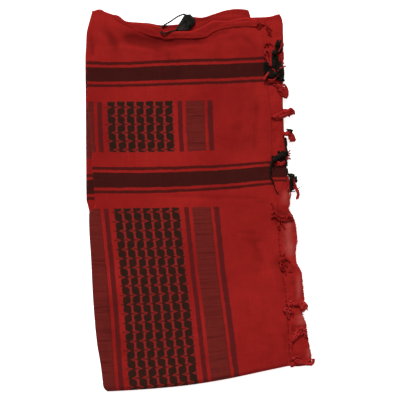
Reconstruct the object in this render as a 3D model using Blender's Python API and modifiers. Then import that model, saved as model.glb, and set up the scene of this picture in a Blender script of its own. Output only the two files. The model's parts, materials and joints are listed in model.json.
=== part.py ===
# A square cotton scarf with knotted fringe, folded to an eighth and lying flat.
# The square is folded into a strip a quarter as wide, and the strip is folded in half at the bottom.
# Lengths in the tables are millimetres. X runs to the fringed edges, Y to the selvages, Z up.
# The underside rests at z = 0 and the origin is under the middle of the outline.
import math
import random

import bmesh
import bpy
import numpy as np
from mathutils import Matrix, Vector

MM = 0.001
COLLECTION_NAME = "folded_scarf"
OUTLINE_MIDDLE = (-2.13, -0.2, 0.0)

# Cloth walls and the stack
WALL = 1.2
GAP = 0.35
LAYER_GAP = 0.6
STACK_TOP = 11.3
FRINGE_FALL = 2.6
FRINGE_FALL_RUN = 42.0
SELVAGE_FALL = 1.6
SELVAGE_FALL_RUN = 24.0

# Folds of the front and back halves: reach is how far a fold comes in from the outline
LOBE_SPLIT = 5.9
LEFT_LOBE_REACH = 3.6
FOOT_FOLD_REACH = 7.0
FOLD_RETURN = 4.5
CORNER_RADIUS = 9.0
MITRE_REACH = 14.0
FULL_FOLD_END = 16.0
LOBE_START = 34.0
BACK_LOBE_TOP = 5.5
BACK_LOBE_REACH = 3.4
BACK_LEAF = 30.0
BACK_HEAD = 266.0
BACK_LEAF_HEAD = 234.0
MARGIN_REACH = 2.6
MARGIN_TAIL = 4.5
THIRD_FOOT = 240.0
THIRD_TOP = 4.6
CORE_FLOOR = WALL + GAP

# Crosswise guide lines of the front panel: name, cloth distance from the bottom fold, Y at each X station
GUIDE_X = (-160.0, -135.0, -110.0, -60.0, -10.0, 40.0, 90.0, 130.0)
FRONT_GUIDES = (
    ("bottom_fold", 0.0, (-280.2, -280.0, -278.9, -275.4, -270.1, -261.9, -251.4, -243.0)),
    ("field_top", 261.0, (-13.4, -13.0, -12.4, -11.7, -10.8, -9.6, -7.9, -6.9)),
    ("band_2_foot", 286.0, (9.2, 9.2, 9.2, 9.9, 12.1, 15.3, 20.4, 23.8)),
    ("band_2_head", 324.0, (49.1, 48.6, 48.2, 48.5, 49.9, 52.3, 56.4, 57.8)),
    ("block_foot", 346.0, (69.5, 69.5, 69.5, 69.8, 71.0, 73.4, 77.8, 80.0)),
    ("block_head", 420.0, (142.8, 143.0, 143.1, 143.7, 144.4, 146.3, 150.1, 151.5)),
    ("band_1_foot", 442.0, (164.4, 164.5, 164.7, 166.1, 167.8, 169.4, 172.3, 173.4)),
    ("band_1_head", 480.0, (202.2, 201.0, 200.9, 203.7, 205.6, 206.4, 209.1, 209.9)),
    ("top_edge", 550.0, (276.0, 271.0, 253.7, 242.0, 243.5, 254.5, 259.6, 260.0)),
)

# Side edges of the front panel: Y, left fold X, fringed edge X
FRONT_SIDES = (
    (-280.0, -140.5, 131.5),
    (-242.0, -144.5, 131.0),
    (-208.0, -150.2, 130.5),
    (-147.0, -155.6, 126.5),
    (-86.0, -158.7, 118.7),
    (-45.0, -161.3, 115.0),
    (-20.0, -161.6, 114.6),
    (-12.0, -155.5, 114.4),
    (-7.0, -153.2, 114.0),
    (9.0, -154.0, 109.5),
    (29.0, -155.8, 106.6),
    (49.0, -157.2, 105.6),
    (70.0, -157.4, 106.0),
    (90.0, -159.1, 105.8),
    (120.0, -162.4, 105.2),
    (143.0, -164.1, 102.6),
    (165.0, -164.3, 99.0),
    (202.0, -165.7, 96.0),
    (222.0, -166.0, 95.2),
    (244.0, -165.1, 91.0),
    (257.0, -162.0, 85.5),
    (274.0, -157.3, 82.0),
)

# Side edges of the back half of the strip, which lies on the floor: Y, left fold X, fringed edge X
BACK_SIDES = (
    (-276.0, -132.5, 142.0),
    (-246.0, -136.0, 146.0),
    (-205.0, -150.4, 147.0),
    (-150.0, -154.9, 143.0),
    (-120.0, -156.6, 142.0),
    (-98.0, -158.0, 136.0),
    (-82.0, -159.0, 127.5),
    (-22.0, -161.2, 125.0),
    (-8.0, -163.6, 122.8),
    (0.0, -165.8, 122.0),
    (60.0, -166.3, 121.0),
    (146.0, -166.8, 118.0),
    (205.0, -167.4, 117.0),
    (222.0, -166.6, 117.0),
    (244.0, -164.4, 117.0),
    (270.0, -157.0, 116.0),
)

# Outer edge of the second layer past the front panel's fringe: Y, X
SECOND_EDGE = (
    (-242.0, 158.0),
    (-226.0, 156.5),
    (-200.0, 153.0),
    (-172.0, 152.0),
    (-150.0, 153.5),
    (-128.0, 150.6),
    (-104.0, 149.0),
    (-83.0, 140.6),
    (-64.0, 143.0),
    (-38.0, 141.0),
    (-20.0, 136.0),
    (-4.0, 130.0),
    (8.0, 125.5),
    (40.0, 125.0),
    (80.0, 123.6),
    (110.0, 122.8),
    (160.0, 122.6),
    (200.0, 122.4),
    (252.0, 122.2),
    (266.0, 119.5),
    (271.0, 116.0),
)

# Foot and head of the second layer: X, foot Y, head Y
SECOND_ENDS = (
    (-140.0, -262.0, 222.0),
    (60.0, -246.0, 226.0),
    (80.0, -244.0, 232.0),
    (87.0, -243.0, 262.0),
    (98.0, -241.4, 266.8),
    (112.0, -238.6, 269.0),
    (122.0, -236.6, 271.0),
    (134.0, -236.0, 271.0),
    (145.0, -241.0, 271.0),
    (160.0, -242.0, 271.0),
)

# The head of the second layer where it turns over the front panel's top edge: X, free edge Y, fold Y
TURNED_MARGIN = (
    (-100.0, 250.5, 258.0),
    (-86.0, 243.5, 257.6),
    (-70.0, 238.2, 255.4),
    (-58.0, 236.0, 252.2),
    (-50.0, 233.6, 246.4),
    (-36.0, 235.0, 246.0),
    (-12.0, 235.0, 246.4),
    (8.0, 236.4, 255.0),
    (20.0, 243.8, 261.6),
    (32.0, 248.6, 261.2),
    (40.0, 250.0, 260.8),
    (50.0, 251.6, 263.6),
    (60.0, 252.2, 265.4),
    (72.0, 252.6, 266.0),
    (84.0, 252.0, 263.0),
)

# Head of the third layer, which shows behind the margin: X, head Y
THIRD_HEAD = (
    (-146.0, 277.4),
    (-138.0, 275.0),
    (-128.0, 271.4),
    (-119.0, 269.4),
    (-108.0, 261.4),
    (-88.0, 259.4),
    (-74.0, 257.6),
    (-58.0, 253.6),
    (-32.0, 255.2),
    (-14.0, 266.4),
    (4.0, 265.6),
    (20.0, 271.2),
    (37.0, 277.0),
    (52.0, 279.3),
    (64.0, 278.9),
    (69.0, 276.4),
    (72.0, 267.5),
)

# Largest soft folds of the front panel: name, start X Y, end X Y, half width, height
SOFT_FOLDS = (
    ("corner_ridge", -150.0, 262.0, -104.0, 244.0, 12.0, 0.8),
    ("margin_hollow", -104.0, 232.0, -40.0, 226.0, 12.0, -1.3),
    ("left_swell", -140.0, 190.0, -146.0, 90.0, 18.0, 0.4),
    ("middle_valley", 60.0, 150.0, 58.0, 76.0, 15.0, -0.5),
    ("drop_fold", 78.0, -56.0, 88.0, -98.0, 14.0, -0.5),
    ("foot_swell", 20.0, -150.0, 70.0, -228.0, 30.0, 0.6),
    ("left_crease", -128.0, -70.0, -124.0, -226.0, 16.0, -0.4),
)
TROUGH_SPREAD = 1.5

# Hidden layers, from the top level down: height share, inset from left, right, head and foot
CORE_LEVELS = (
    (0.86, 16.0, 6.5, 38.0, 14.0),
    (0.78, 16.0, 5.0, 36.0, 13.0),
    (0.76, 37.0, 12.0, 38.0, 17.0),
    (0.33, 37.0, 12.0, 38.0, 17.0),
    (0.28, 8.0, 4.0, 25.0, 13.0),
    (0.20, 7.0, 3.0, 24.4, 13.0),
    (0.15, 9.0, 9.0, 28.0, 15.0),
    (0.10, 7.0, 3.0, 24.4, 13.0),
    (0.0, 8.0, 5.0, 26.0, 14.0),
)
CORE_CAP_INSET = (21.0, 17.0, 46.0, 21.0)

RED = (0.276, 0.013, 0.010)
DULL_RED = (0.200, 0.012, 0.012)
BLACK = (0.012, 0.011, 0.008)

# Tassels: name, edge and Y that they grow from, head X Y, heading in degrees from +X,
# strand length, fan width, yarn
TASSELS = (
    ("front_tassel_1", "front", 252.0, 91.0, 256.5, 14.0, 14.0, 9.0, DULL_RED),
    ("front_tassel_2", "front", 232.0, 99.5, 228.0, -24.0, 9.0, 5.0, DULL_RED),
    ("front_tassel_3", "front", 222.0, 100.4, 217.5, -70.0, 17.0, 5.0, RED),
    ("front_tassel_4", "front", 184.0, 105.0, 182.0, 30.0, 17.0, 9.0, BLACK),
    ("front_tassel_5", "front", 121.0, 109.4, 121.6, 19.0, 24.0, 7.0, RED),
    ("front_tassel_6", "front", 56.0, 109.6, 58.0, 33.0, 17.0, 6.0, BLACK),
    ("front_tassel_7", "front", -19.0, 118.6, -20.5, -34.0, 17.0, 7.0, DULL_RED),
    ("front_tassel_8", "front", -80.0, 123.4, -83.0, -52.0, 16.0, 7.0, DULL_RED),
    ("front_tassel_9", "front", -142.0, 132.6, -144.4, -12.0, 22.0, 9.0, RED),
    ("front_tassel_10", "front", -152.0, 131.0, -155.8, -66.0, 17.0, 6.0, RED),
    ("front_tassel_11", "front", -210.0, 135.8, -208.0, 70.0, 24.0, 8.0, RED),
    ("front_tassel_12", "front", -222.0, 136.2, -226.6, -18.0, 27.0, 8.0, RED),
    ("second_tassel_1", "none", 0.0, 110.4, 214.4, 58.0, 18.0, 7.0, BLACK),
    ("second_tassel_2", "second", 170.0, 127.0, 165.5, -52.0, 12.0, 7.0, RED),
    ("second_tassel_3", "second", 100.0, 127.8, 101.6, -42.0, 15.0, 6.0, BLACK),
    ("second_tassel_4", "second", 90.0, 128.4, 88.6, -84.0, 9.0, 4.0, BLACK),
    ("second_tassel_5", "second", 57.0, 129.0, 55.4, -84.0, 8.0, 4.0, BLACK),
    ("second_tassel_6", "second", 38.0, 130.0, 36.4, -50.0, 25.0, 8.0, BLACK),
)
HEAD_SIZE = (2.6, 2.3, 1.5)
STRAND_COUNT = 5
STRAND_STEPS = 4
STRAND_RADIUS = 0.6
STRAND_TAPER = 0.4
STRAND_SPACING = 1.45
STRAND_REACH = (0.82, 1.0)
HEAD_RINGS = 5
MIDDLE_BAND = 0.1
FACE_INSET = 0.25
FAN_SHARE = 0.25
FAN_LEAST = 0.2
TIP_HEIGHT = 1.0
NECK_RADIUS = 0.4
OVERHANG = 8.0

# The folded tassel at the head: foot and crown of the bundle, its half widths and its long loose strand
BUNDLE_FOOT = (-27.0, 248.2)
BUNDLE_CROWN = (-14.0, 268.0)
BUNDLE_HALF_WIDTH = 10.5
BUNDLE_HALF_DEPTH = 2.0
BUNDLE_RIDGES = 9
BUNDLE_FLOOR = 4.1
LOOSE_STRAND = (
    (-20.5, 270.8, 6.8),
    (-24.5, 270.4, 6.9),
    (-30.0, 267.6, 6.5),
    (-36.0, 264.0, 6.1),
    (-42.0, 260.4, 5.8),
    (-48.0, 257.0, 5.7),
    (-54.0, 254.9, 5.6),
    (-56.5, 254.4, 5.6),
)
LOOSE_STRAND_RADIUS = 0.7


def curve_value(keys, values, key):
    """Smooth value through table entries, held flat past both ends."""
    if key <= keys[0]:
        return values[0]
    if key >= keys[-1]:
        return values[-1]
    last = len(keys) - 1
    i = int(np.searchsorted(keys, key, side="right")) - 1
    span = keys[i + 1] - keys[i]
    step = (key - keys[i]) / span
    secant = (values[i + 1] - values[i]) / span
    before = secant if i == 0 else (values[i + 1] - values[i - 1]) / (keys[i + 1] - keys[i - 1])
    after = secant if i + 1 == last else (values[i + 2] - values[i]) / (keys[i + 2] - keys[i])
    limit = 2.5 * abs(secant)
    before = max(-limit, min(limit, before))
    after = max(-limit, min(limit, after))
    return ((2 * step ** 3 - 3 * step ** 2 + 1) * values[i] + (step ** 3 - 2 * step ** 2 + step) * span * before
            + (3 * step ** 2 - 2 * step ** 3) * values[i + 1] + (step ** 3 - step ** 2) * span * after)


def from_table(table, value_column, key):
    return curve_value([row[0] for row in table], [row[value_column] for row in table], key)


def blend(low, high, value):
    """0 at low, 1 at high, with soft ends."""
    share = min(1.0, max(0.0, (value - low) / (high - low)))
    return share * share * (3.0 - 2.0 * share)


def make_material(name, color):
    material = bpy.data.materials.new(name)
    material.use_nodes = True
    shader = material.node_tree.nodes["Principled BSDF"]
    shader.inputs["Base Color"].default_value = (*color, 1.0)
    shader.inputs["Roughness"].default_value = 0.9
    shader.inputs["Metallic"].default_value = 0.0
    return material


def add_object(name, bm, collection, color):
    bmesh.ops.translate(bm, vec=-MM * Vector(OUTLINE_MIDDLE), verts=bm.verts[:])
    mesh = bpy.data.meshes.new(name)
    bm.to_mesh(mesh)
    bm.free()
    obj = bpy.data.objects.new(name, mesh)
    collection.objects.link(obj)
    obj.data.materials.append(make_material(name + "_material", color))
    obj.data.shade_smooth()
    return obj


def add_sheet(name, bm, collection, color):
    """An open surface, given its cloth wall under its outer face."""
    sheet = add_object(name, bm, collection, color)
    wall = sheet.modifiers.new("cloth_wall", "SOLIDIFY")
    wall.thickness = WALL * MM
    wall.offset = -1.0
    return sheet


def grid_for(columns, rows):
    """A flat grid with one vertex column for each entry of columns, and a function that reads its place."""
    bm = bmesh.new()
    bmesh.ops.create_grid(bm, x_segments=len(columns) - 1, y_segments=len(rows) - 1, size=0.5)

    def place(vert):
        i = round((vert.co.x + 0.5) * (len(columns) - 1))
        j = round((vert.co.y + 0.5) * (len(rows) - 1))
        return columns[i], rows[j]

    return bm, place


def guide_y(x, cloth_y):
    """World Y of a cloth line on the front panel, at world X."""
    heights = [curve_value(GUIDE_X, line[2], x) for line in FRONT_GUIDES]
    return float(np.interp(cloth_y, [line[1] for line in FRONT_GUIDES], heights))


def soft_folds(x, y, troughs_only=False):
    """Height of the soft folds; the layers below follow the troughs alone, a little wider."""
    total = 0.0
    for _, x0, y0, x1, y1, half_width, height in SOFT_FOLDS:
        if troughs_only and height > 0.0:
            continue
        run = Vector((x1 - x0, y1 - y0))
        share = min(1.0, max(0.0, ((x - x0) * run.x + (y - y0) * run.y) / run.length_squared))
        apart = math.hypot(x - x0 - share * run.x, y - y0 - share * run.y)
        spread = TROUGH_SPREAD if troughs_only else 1.0
        total += height * math.exp(-(apart / (half_width * spread)) ** 2)
    return total


def crown_base(x, y):
    """Height of the front panel's upper face without its soft folds."""
    fringe = from_table(FRONT_SIDES, 2, y)
    head = curve_value(GUIDE_X, FRONT_GUIDES[-1][2], x)
    fall = FRINGE_FALL * math.exp(-(max(0.0, fringe - x) / FRINGE_FALL_RUN) ** 2)
    fall += SELVAGE_FALL * math.exp(-(max(0.0, head - y) / SELVAGE_FALL_RUN) ** 2)
    return STACK_TOP - fall


def front_crown(x, y):
    return crown_base(x, y) + soft_folds(x, y)


def second_top(x, y):
    """Upper face of the second layer: under the front panel, then falling towards the floor past it."""
    fringe = from_table(FRONT_SIDES, 2, y)
    support = from_table(BACK_SIDES, 2, y)
    base = crown_base(x, y) + soft_folds(x, y, troughs_only=True) - WALL - LAYER_GAP
    fall = 1.2 * blend(fringe, fringe + 22.0, x) + 3.4 * blend(support - 6.0, support + 16.0, x)
    fall += 0.4 * blend(250.0, 272.0, y) * blend(84.0, 96.0, x)
    return base - fall


def third_top(x, y):
    """Upper face of the third layer, which droops to the floor at its selvage."""
    under_margin = front_crown(x, min(y, 250.0)) - 3.0 * WALL - LAYER_GAP
    return min(THIRD_TOP, under_margin) - 1.5 * blend(246.0, 282.0, y)


def top_under(x, y):
    """Height of whatever a tassel lies on at this place."""
    if x < from_table(FRONT_SIDES, 2, y) + 0.6:
        return front_crown(x, y)
    edge = from_table(SECOND_EDGE, 1, y)
    if x < edge + OVERHANG:
        return second_top(min(x, edge), y)
    return 0.0


def fold_rise(inset, reach):
    """0 on the outline and 1 where the fold has become flat cloth."""
    share = min(1.0, max(0.0, inset / reach))
    return math.sqrt(1.0 - (1.0 - share) ** 2)


def round_corner(inset_x, inset_y):
    """Move points near the bottom left corner inwards, so that the outline is round there."""
    if inset_x >= CORNER_RADIUS or inset_y >= CORNER_RADIUS:
        return inset_x, inset_y
    u = 1.0 - inset_x / CORNER_RADIUS
    v = 1.0 - inset_y / CORNER_RADIUS
    round_u = u * math.sqrt(1.0 - 0.5 * v * v)
    round_v = v * math.sqrt(1.0 - 0.5 * u * u)
    return CORNER_RADIUS * (1.0 - round_u), CORNER_RADIUS * (1.0 - round_v)


def front_point(turn_x, inset_x, across, turn_y, inset_y, along):
    """A point of the front panel.

    The insets are plan distances from the left fold and the bottom fold; past the folds, across is
    the share of the width and along the cloth distance from the bottom fold. The turns are the
    angles gone under the outline.
    """
    near_x, near_y = round_corner(inset_x, inset_y)
    cloth_y = near_y if inset_y < FULL_FOLD_END else along
    x = -150.0 + near_x
    y = 0.0
    for _ in range(4):
        y = guide_y(x, cloth_y)
        left = from_table(FRONT_SIDES, 1, y)
        right = from_table(FRONT_SIDES, 2, y)
        x = left + near_x if across is None else left + across * (right - left)
    crown = front_crown(x, y)
    height = crown - LOBE_SPLIT * blend(FULL_FOLD_END, LOBE_START, cloth_y)
    rise = fold_rise(inset_x, LEFT_LOBE_REACH) * fold_rise(inset_y, FOOT_FOLD_REACH)
    z = crown - 0.5 * height * (1.0 - rise)
    turn = max(turn_x, turn_y)
    if turn > 0.0:
        under = math.radians(min(turn, 90.0))
        tail = FOLD_RETURN * max(0.0, turn - 90.0) / 90.0
        z = crown - 0.5 * height * (1.0 + math.sin(under))
        mitre_x = 1.0 if turn_x > 0.0 else max(0.0, 1.0 - inset_x / MITRE_REACH)
        mitre_y = 1.0 if turn_y > 0.0 else max(0.0, 1.0 - inset_y / MITRE_REACH)
        x += mitre_x * (LEFT_LOBE_REACH * (1.0 - math.cos(under)) + tail)
        y += mitre_y * (FOOT_FOLD_REACH * (1.0 - math.cos(under)) + tail)
    return Vector((x, y, z)) * MM


def make_front_panel(collection):
    """The quarter that faces up: it turns under at its left fold and goes round the bottom fold."""
    turns = (180.0, 90.0, 60.0, 30.0)
    fold_insets_x = (0.0, 0.35, 1.4, 3.6)
    fold_insets_y = (0.0, 0.7, 2.6, 7.0)
    across_shares = (0.05, 0.12, 0.2, 0.3, 0.4, 0.5, 0.6, 0.7, 0.79, 0.86, 0.92, 0.965, 1.0)
    along_lines = (16.0, 34.0, 60.0, 90.0, 122.0, 154.0, 186.0, 212.0, 234.0, 250.0, 261.0, 273.0, 286.0,
                   304.0, 324.0, 346.0, 370.0, 396.0, 420.0, 442.0, 461.0, 480.0, 498.0, 514.0, 530.0, 542.0, 550.0)
    columns = [(turn, 0.0, None) for turn in turns]
    columns += [(0.0, inset, None) for inset in fold_insets_x]
    columns += [(0.0, 50.0, share) for share in across_shares]
    rows = [(turn, 0.0, 0.0) for turn in turns]
    rows += [(0.0, inset, inset) for inset in fold_insets_y]
    rows += [(0.0, along, along) for along in along_lines]
    bm, place = grid_for(columns, rows)
    for vert in bm.verts:
        (turn_x, inset_x, across), (turn_y, inset_y, along) = place(vert)
        if turn_x > 0.0 and turn_y > 0.0:
            turn_x = turn_y = max(turn_x, turn_y)
        vert.co = front_point(turn_x, inset_x, across, turn_y, inset_y, along)
    bmesh.ops.remove_doubles(bm, verts=bm.verts[:], dist=0.00002)
    return add_sheet("front_panel", bm, collection, RED)


def make_second_panel(collection):
    """The quarter under the front one, whose own fringed edge shows past it."""
    strip_start = 78.0
    columns = [(x, None) for x in (-70.0, 10.0, 56.0)]
    columns += [(None, share) for share in (0.0, 0.2, 0.38, 0.55, 0.7, 0.84, 0.93, 1.0)]
    rows = [j / 28.0 for j in range(27)] + [0.98, 1.0]
    bm, place = grid_for(columns, rows)
    for vert in bm.verts:
        (x, share), along = place(vert)
        probe = 100.0 if x is None else x
        y = 0.0
        for _ in range(4):
            foot = from_table(SECOND_ENDS, 1, probe)
            head = from_table(SECOND_ENDS, 2, probe)
            y = foot + along * (head - foot)
            if share is not None:
                probe = strip_start + share * (from_table(SECOND_EDGE, 1, y) - strip_start)
        vert.co = Vector((probe, y, second_top(probe, y))) * MM
    return add_sheet("second_panel", bm, collection, RED)


def make_turned_margin(collection):
    """The head of the second layer, turned over the front panel's top edge."""
    first = TURNED_MARGIN[0][0]
    last = TURNED_MARGIN[-1][0]
    columns = [first + (last - first) * i / 22.0 for i in range(23)]
    rows = [("leaf", share) for share in (0.0, 0.3, 0.6, 0.85)]
    rows += [("turn", angle) for angle in (90.0, 45.0, 0.0, -45.0, -90.0)]
    rows += [("tail", 1.0)]
    over = WALL + GAP + 0.4
    bm, place = grid_for(columns, rows)
    for vert in bm.verts:
        x, (kind, value) = place(vert)
        low = from_table(TURNED_MARGIN, 1, x)
        high = from_table(TURNED_MARGIN, 2, x)
        lip = front_crown(x, low) + over
        crest = max(lip, front_crown(x, high - 6.0) + over) + 0.3
        under = front_crown(x, high - 6.0) - 2.0 * WALL - LAYER_GAP
        flat_end = high - MARGIN_REACH
        if kind == "leaf":
            y = low + value * (flat_end - low)
            z = lip + (crest - lip) * value
        elif kind == "turn":
            y = flat_end + MARGIN_REACH * math.cos(math.radians(value))
            z = 0.5 * (crest + under) + 0.5 * (crest - under) * math.sin(math.radians(value))
        else:
            y = flat_end - MARGIN_TAIL
            z = under
        vert.co = Vector((x, y, z)) * MM
    return add_sheet("turned_margin", bm, collection, RED)


def make_third_panel(collection):
    """The layer behind, whose selvage makes the upper outline."""
    first = THIRD_HEAD[0][0]
    last = THIRD_HEAD[-1][0]
    columns = [first + (last - first) * i / 32.0 for i in range(33)]
    rows = (0.0, 0.4, 0.7, 0.9, 1.0)
    bm, place = grid_for(columns, rows)
    for vert in bm.verts:
        x, share = place(vert)
        y = THIRD_FOOT + share * (from_table(THIRD_HEAD, 1, x) - THIRD_FOOT)
        vert.co = Vector((x, y, third_top(x, y))) * MM
    return add_sheet("third_panel", bm, collection, RED)


def make_back_panel(collection):
    """The half strip on the floor, with its left fold and the leaf that comes back over it."""
    columns = [("floor", share) for share in (0.0, 0.25, 0.5, 0.75, 0.93)]
    columns += [("turn", angle) for angle in (-90.0, -45.0, 0.0, 45.0, 90.0)]
    columns += [("leaf", inset) for inset in (14.0, BACK_LEAF)]
    rows = [j / 24.0 for j in range(25)]
    bm, place = grid_for(columns, rows)
    for vert in bm.verts:
        (kind, value), along = place(vert)
        turned = {"floor": 0.0, "turn": (value + 90.0) / 180.0, "leaf": 1.0}[kind]
        x = 0.0
        y = 0.0
        for _ in range(4):
            foot = guide_y(x, 0.0) + FOOT_FOLD_REACH + FOLD_RETURN + 3.0
            head = min(BACK_HEAD, guide_y(x, 550.0) + 4.0)
            head += (BACK_LEAF_HEAD - BACK_HEAD) * turned
            y = foot + along * (head - foot)
            left = from_table(BACK_SIDES, 1, y)
            right = from_table(BACK_SIDES, 2, y)
            if kind == "floor":
                x = right + value * (left + BACK_LOBE_REACH - right)
            elif kind == "turn":
                x = left + BACK_LOBE_REACH * (1.0 - math.cos(math.radians(value)))
            else:
                x = left + BACK_LOBE_REACH + value
        vert.co = Vector((x, y, BACK_LOBE_TOP * 0.5 * (1.0 - math.cos(math.pi * turned)))) * MM
    return add_sheet("back_panel", bm, collection, RED)


def core_plan(share_x, share_y, insets):
    """Plan position on the hidden layers' outline, drawn in by the insets of one level."""
    inset_left, inset_right, inset_head, inset_foot = insets
    x = 0.0
    y = 0.0
    for _ in range(4):
        foot = guide_y(x, 0.0) + inset_foot
        head = min(BACK_HEAD - 4.0, guide_y(x, 550.0) + 8.0) - inset_head
        y = foot + share_y * (head - foot)
        left = max(from_table(BACK_SIDES, 1, y), from_table(FRONT_SIDES, 1, y)) + inset_left
        right = from_table(BACK_SIDES, 2, y) - inset_right
        x = left + share_x * (right - left)
    return x, y


def make_hidden_layers(collection):
    """The layers that never show, as one rounded solid with grooves between its layers."""
    columns = [i / 9.0 for i in range(10)]
    rows = [j / 16.0 for j in range(17)]
    bm, place = grid_for(columns, rows)
    shares = bm.verts.layers.float_vector.new("shares")
    for vert in bm.verts:
        share_x, share_y = place(vert)
        vert[shares] = (share_x, share_y, 0.0)
        x, y = core_plan(share_x, share_y, CORE_CAP_INSET)
        vert.co = Vector((x, y, second_top(x, y) - WALL - LAYER_GAP)) * MM
    ring = [edge for edge in bm.edges if edge.is_boundary]
    for height_share, *insets in CORE_LEVELS:
        made = bmesh.ops.extrude_edge_only(bm, edges=ring)["geom"]
        ring = [item for item in made if isinstance(item, bmesh.types.BMEdge) and item.is_boundary]
        for vert in [item for item in made if isinstance(item, bmesh.types.BMVert)]:
            x, y = core_plan(vert[shares][0], vert[shares][1], insets)
            top = second_top(x, y) - WALL - LAYER_GAP
            vert.co = Vector((x, y, CORE_FLOOR + height_share * (top - CORE_FLOOR))) * MM
    bmesh.ops.contextual_create(bm, geom=ring)
    bmesh.ops.recalc_face_normals(bm, faces=bm.faces[:])
    return add_object("hidden_layers", bm, collection, DULL_RED)


def neck_point(edge, y):
    """Where a tassel's neck meets the cloth edge that it grows from."""
    if edge == "front":
        x = from_table(FRONT_SIDES, 2, y)
        return Vector((x + GAP + 0.15, y, front_crown(x, y) - 0.4 * WALL))
    x = from_table(SECOND_EDGE, 1, y)
    return Vector((x + GAP + 0.15, y, second_top(x, y) - 0.4 * WALL))


def make_tassel(collection, row):
    """A knot with a neck to its cloth edge, its front faces drawn out into a row of strands."""
    name, edge, edge_y, head_x, head_y, heading, length, fan, color = row
    draw = random.Random(name)
    axis = Vector((math.cos(math.radians(heading)), math.sin(math.radians(heading)), 0.0))
    up = Vector((0.0, 0.0, 1.0))
    side = up.cross(axis)
    head = Vector((head_x, head_y, top_under(head_x, head_y) + HEAD_SIZE[2] + GAP))
    tip_z = top_under(head_x + axis.x * length, head_y + axis.y * length) + TIP_HEIGHT

    def bearing(place):
        return math.atan2((place - head).dot(side) / HEAD_SIZE[1], (place - head).dot(axis) / HEAD_SIZE[0])

    def ring_at(face, centre, direction, radius):
        middle = face.calc_center_median()
        ring = bmesh.ops.extrude_discrete_faces(bm, faces=[face])["faces"][0]
        for vert in ring.verts:
            offset = vert.co - middle
            vert.co = centre + (offset - direction * offset.dot(direction)).normalized() * radius
        return ring

    bm = bmesh.new()
    bmesh.ops.create_uvsphere(bm, u_segments=2 * STRAND_COUNT, v_segments=HEAD_RINGS, radius=1.0)
    turn = Matrix((axis, side, up)).transposed() @ Matrix.Diagonal(HEAD_SIZE)
    for vert in bm.verts:
        vert.co = head + turn @ vert.co
    bm.normal_update()
    band = [face for face in bm.faces if abs(face.calc_center_median().z - head.z) < MIDDLE_BAND]
    band.sort(key=lambda face: abs(bearing(face.calc_center_median())))
    fronts = sorted(band[:STRAND_COUNT], key=lambda face: bearing(face.calc_center_median()))
    root = neck_point(edge, edge_y) if edge != "none" else head - axis
    away = bearing(root)
    back = max(band[STRAND_COUNT:], key=lambda face: math.cos(bearing(face.calc_center_median()) - away))
    bmesh.ops.inset_individual(bm, faces=fronts + [back], thickness=FACE_INSET)
    for order, tip in enumerate(fronts):
        place = order - 0.5 * (STRAND_COUNT - 1)
        reach = length * draw.uniform(*STRAND_REACH)
        for step in range(1, STRAND_STEPS + 1):
            share = step / STRAND_STEPS
            spacing = STRAND_SPACING + (FAN_SHARE * fan + FAN_LEAST - STRAND_SPACING) * share
            centre = head + axis * (HEAD_SIZE[0] + reach * share) + side * place * spacing
            width = STRAND_RADIUS * (1.0 - STRAND_TAPER * share)
            centre.z = max(head.z + (tip_z - head.z) * share, top_under(centre.x, centre.y) + GAP + width)
            tip = ring_at(tip, centre, axis, width)
    if edge != "none":
        ring_at(back, root, (root - back.calc_center_median()).normalized(), NECK_RADIUS)
    for vert in bm.verts:
        vert.co *= MM
    bmesh.ops.recalc_face_normals(bm, faces=bm.faces[:])
    return add_object(name, bm, collection, color)


def make_folded_tassel(collection):
    """A black tassel folded up behind the turned margin: a ridged bundle and one loose strand."""
    foot = Vector((*BUNDLE_FOOT, 0.0))
    crown = Vector((*BUNDLE_CROWN, 0.0))
    axis = (crown - foot).normalized()
    up = Vector((0.0, 0.0, 1.0))
    side = up.cross(axis)
    half_length = 0.5 * (crown - foot).length
    middle = 0.5 * (foot + crown) + up * (BUNDLE_FLOOR + BUNDLE_HALF_DEPTH)
    bm = bmesh.new()
    bmesh.ops.create_uvsphere(bm, u_segments=2 * BUNDLE_RIDGES, v_segments=8, radius=1.0)
    for vert in bm.verts:
        forward = vert.co.z
        angle = math.atan2(vert.co.y, vert.co.x)
        girth = math.hypot(vert.co.x, vert.co.y) * (0.80 + 0.28 * forward)
        girth *= 1.0 + 0.06 * math.cos(BUNDLE_RIDGES * angle)
        vert.co = (middle + axis * (half_length * forward) + side * (BUNDLE_HALF_WIDTH * girth * math.cos(angle))
                   + up * (BUNDLE_HALF_DEPTH * girth * math.sin(angle)))
    start = min((face for face in bm.faces if len(face.verts) == 3),
                key=lambda face: (face.calc_center_median() - Vector(LOOSE_STRAND[0])).length)
    tip = start
    for i, spot in enumerate(LOOSE_STRAND):
        before = Vector(LOOSE_STRAND[max(0, i - 1)])
        after = Vector(LOOSE_STRAND[min(len(LOOSE_STRAND) - 1, i + 1)])
        heading = (after - before).normalized()
        across = up.cross(heading).normalized()
        lift = heading.cross(across)
        tip = bmesh.ops.extrude_discrete_faces(bm, faces=[tip])["faces"][0]
        for k, vert in enumerate(tip.verts):
            turn = 2.0 * math.pi * k / 3.0
            vert.co = Vector(spot) + LOOSE_STRAND_RADIUS * (across * math.cos(turn) + lift * math.sin(turn))
    for vert in bm.verts:
        vert.co *= MM
    bmesh.ops.recalc_face_normals(bm, faces=bm.faces[:])
    return add_object("folded_tassel", bm, collection, BLACK)


def build():
    for obj in list(bpy.data.objects):
        bpy.data.objects.remove(obj, do_unlink=True)
    collection = bpy.data.collections.new(COLLECTION_NAME)
    bpy.context.scene.collection.children.link(collection)
    make_front_panel(collection)
    make_second_panel(collection)
    make_turned_margin(collection)
    make_third_panel(collection)
    make_back_panel(collection)
    make_hidden_layers(collection)
    for row in TASSELS:
        make_tassel(collection, row)
    make_folded_tassel(collection)


build()
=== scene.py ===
import math
import random

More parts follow.
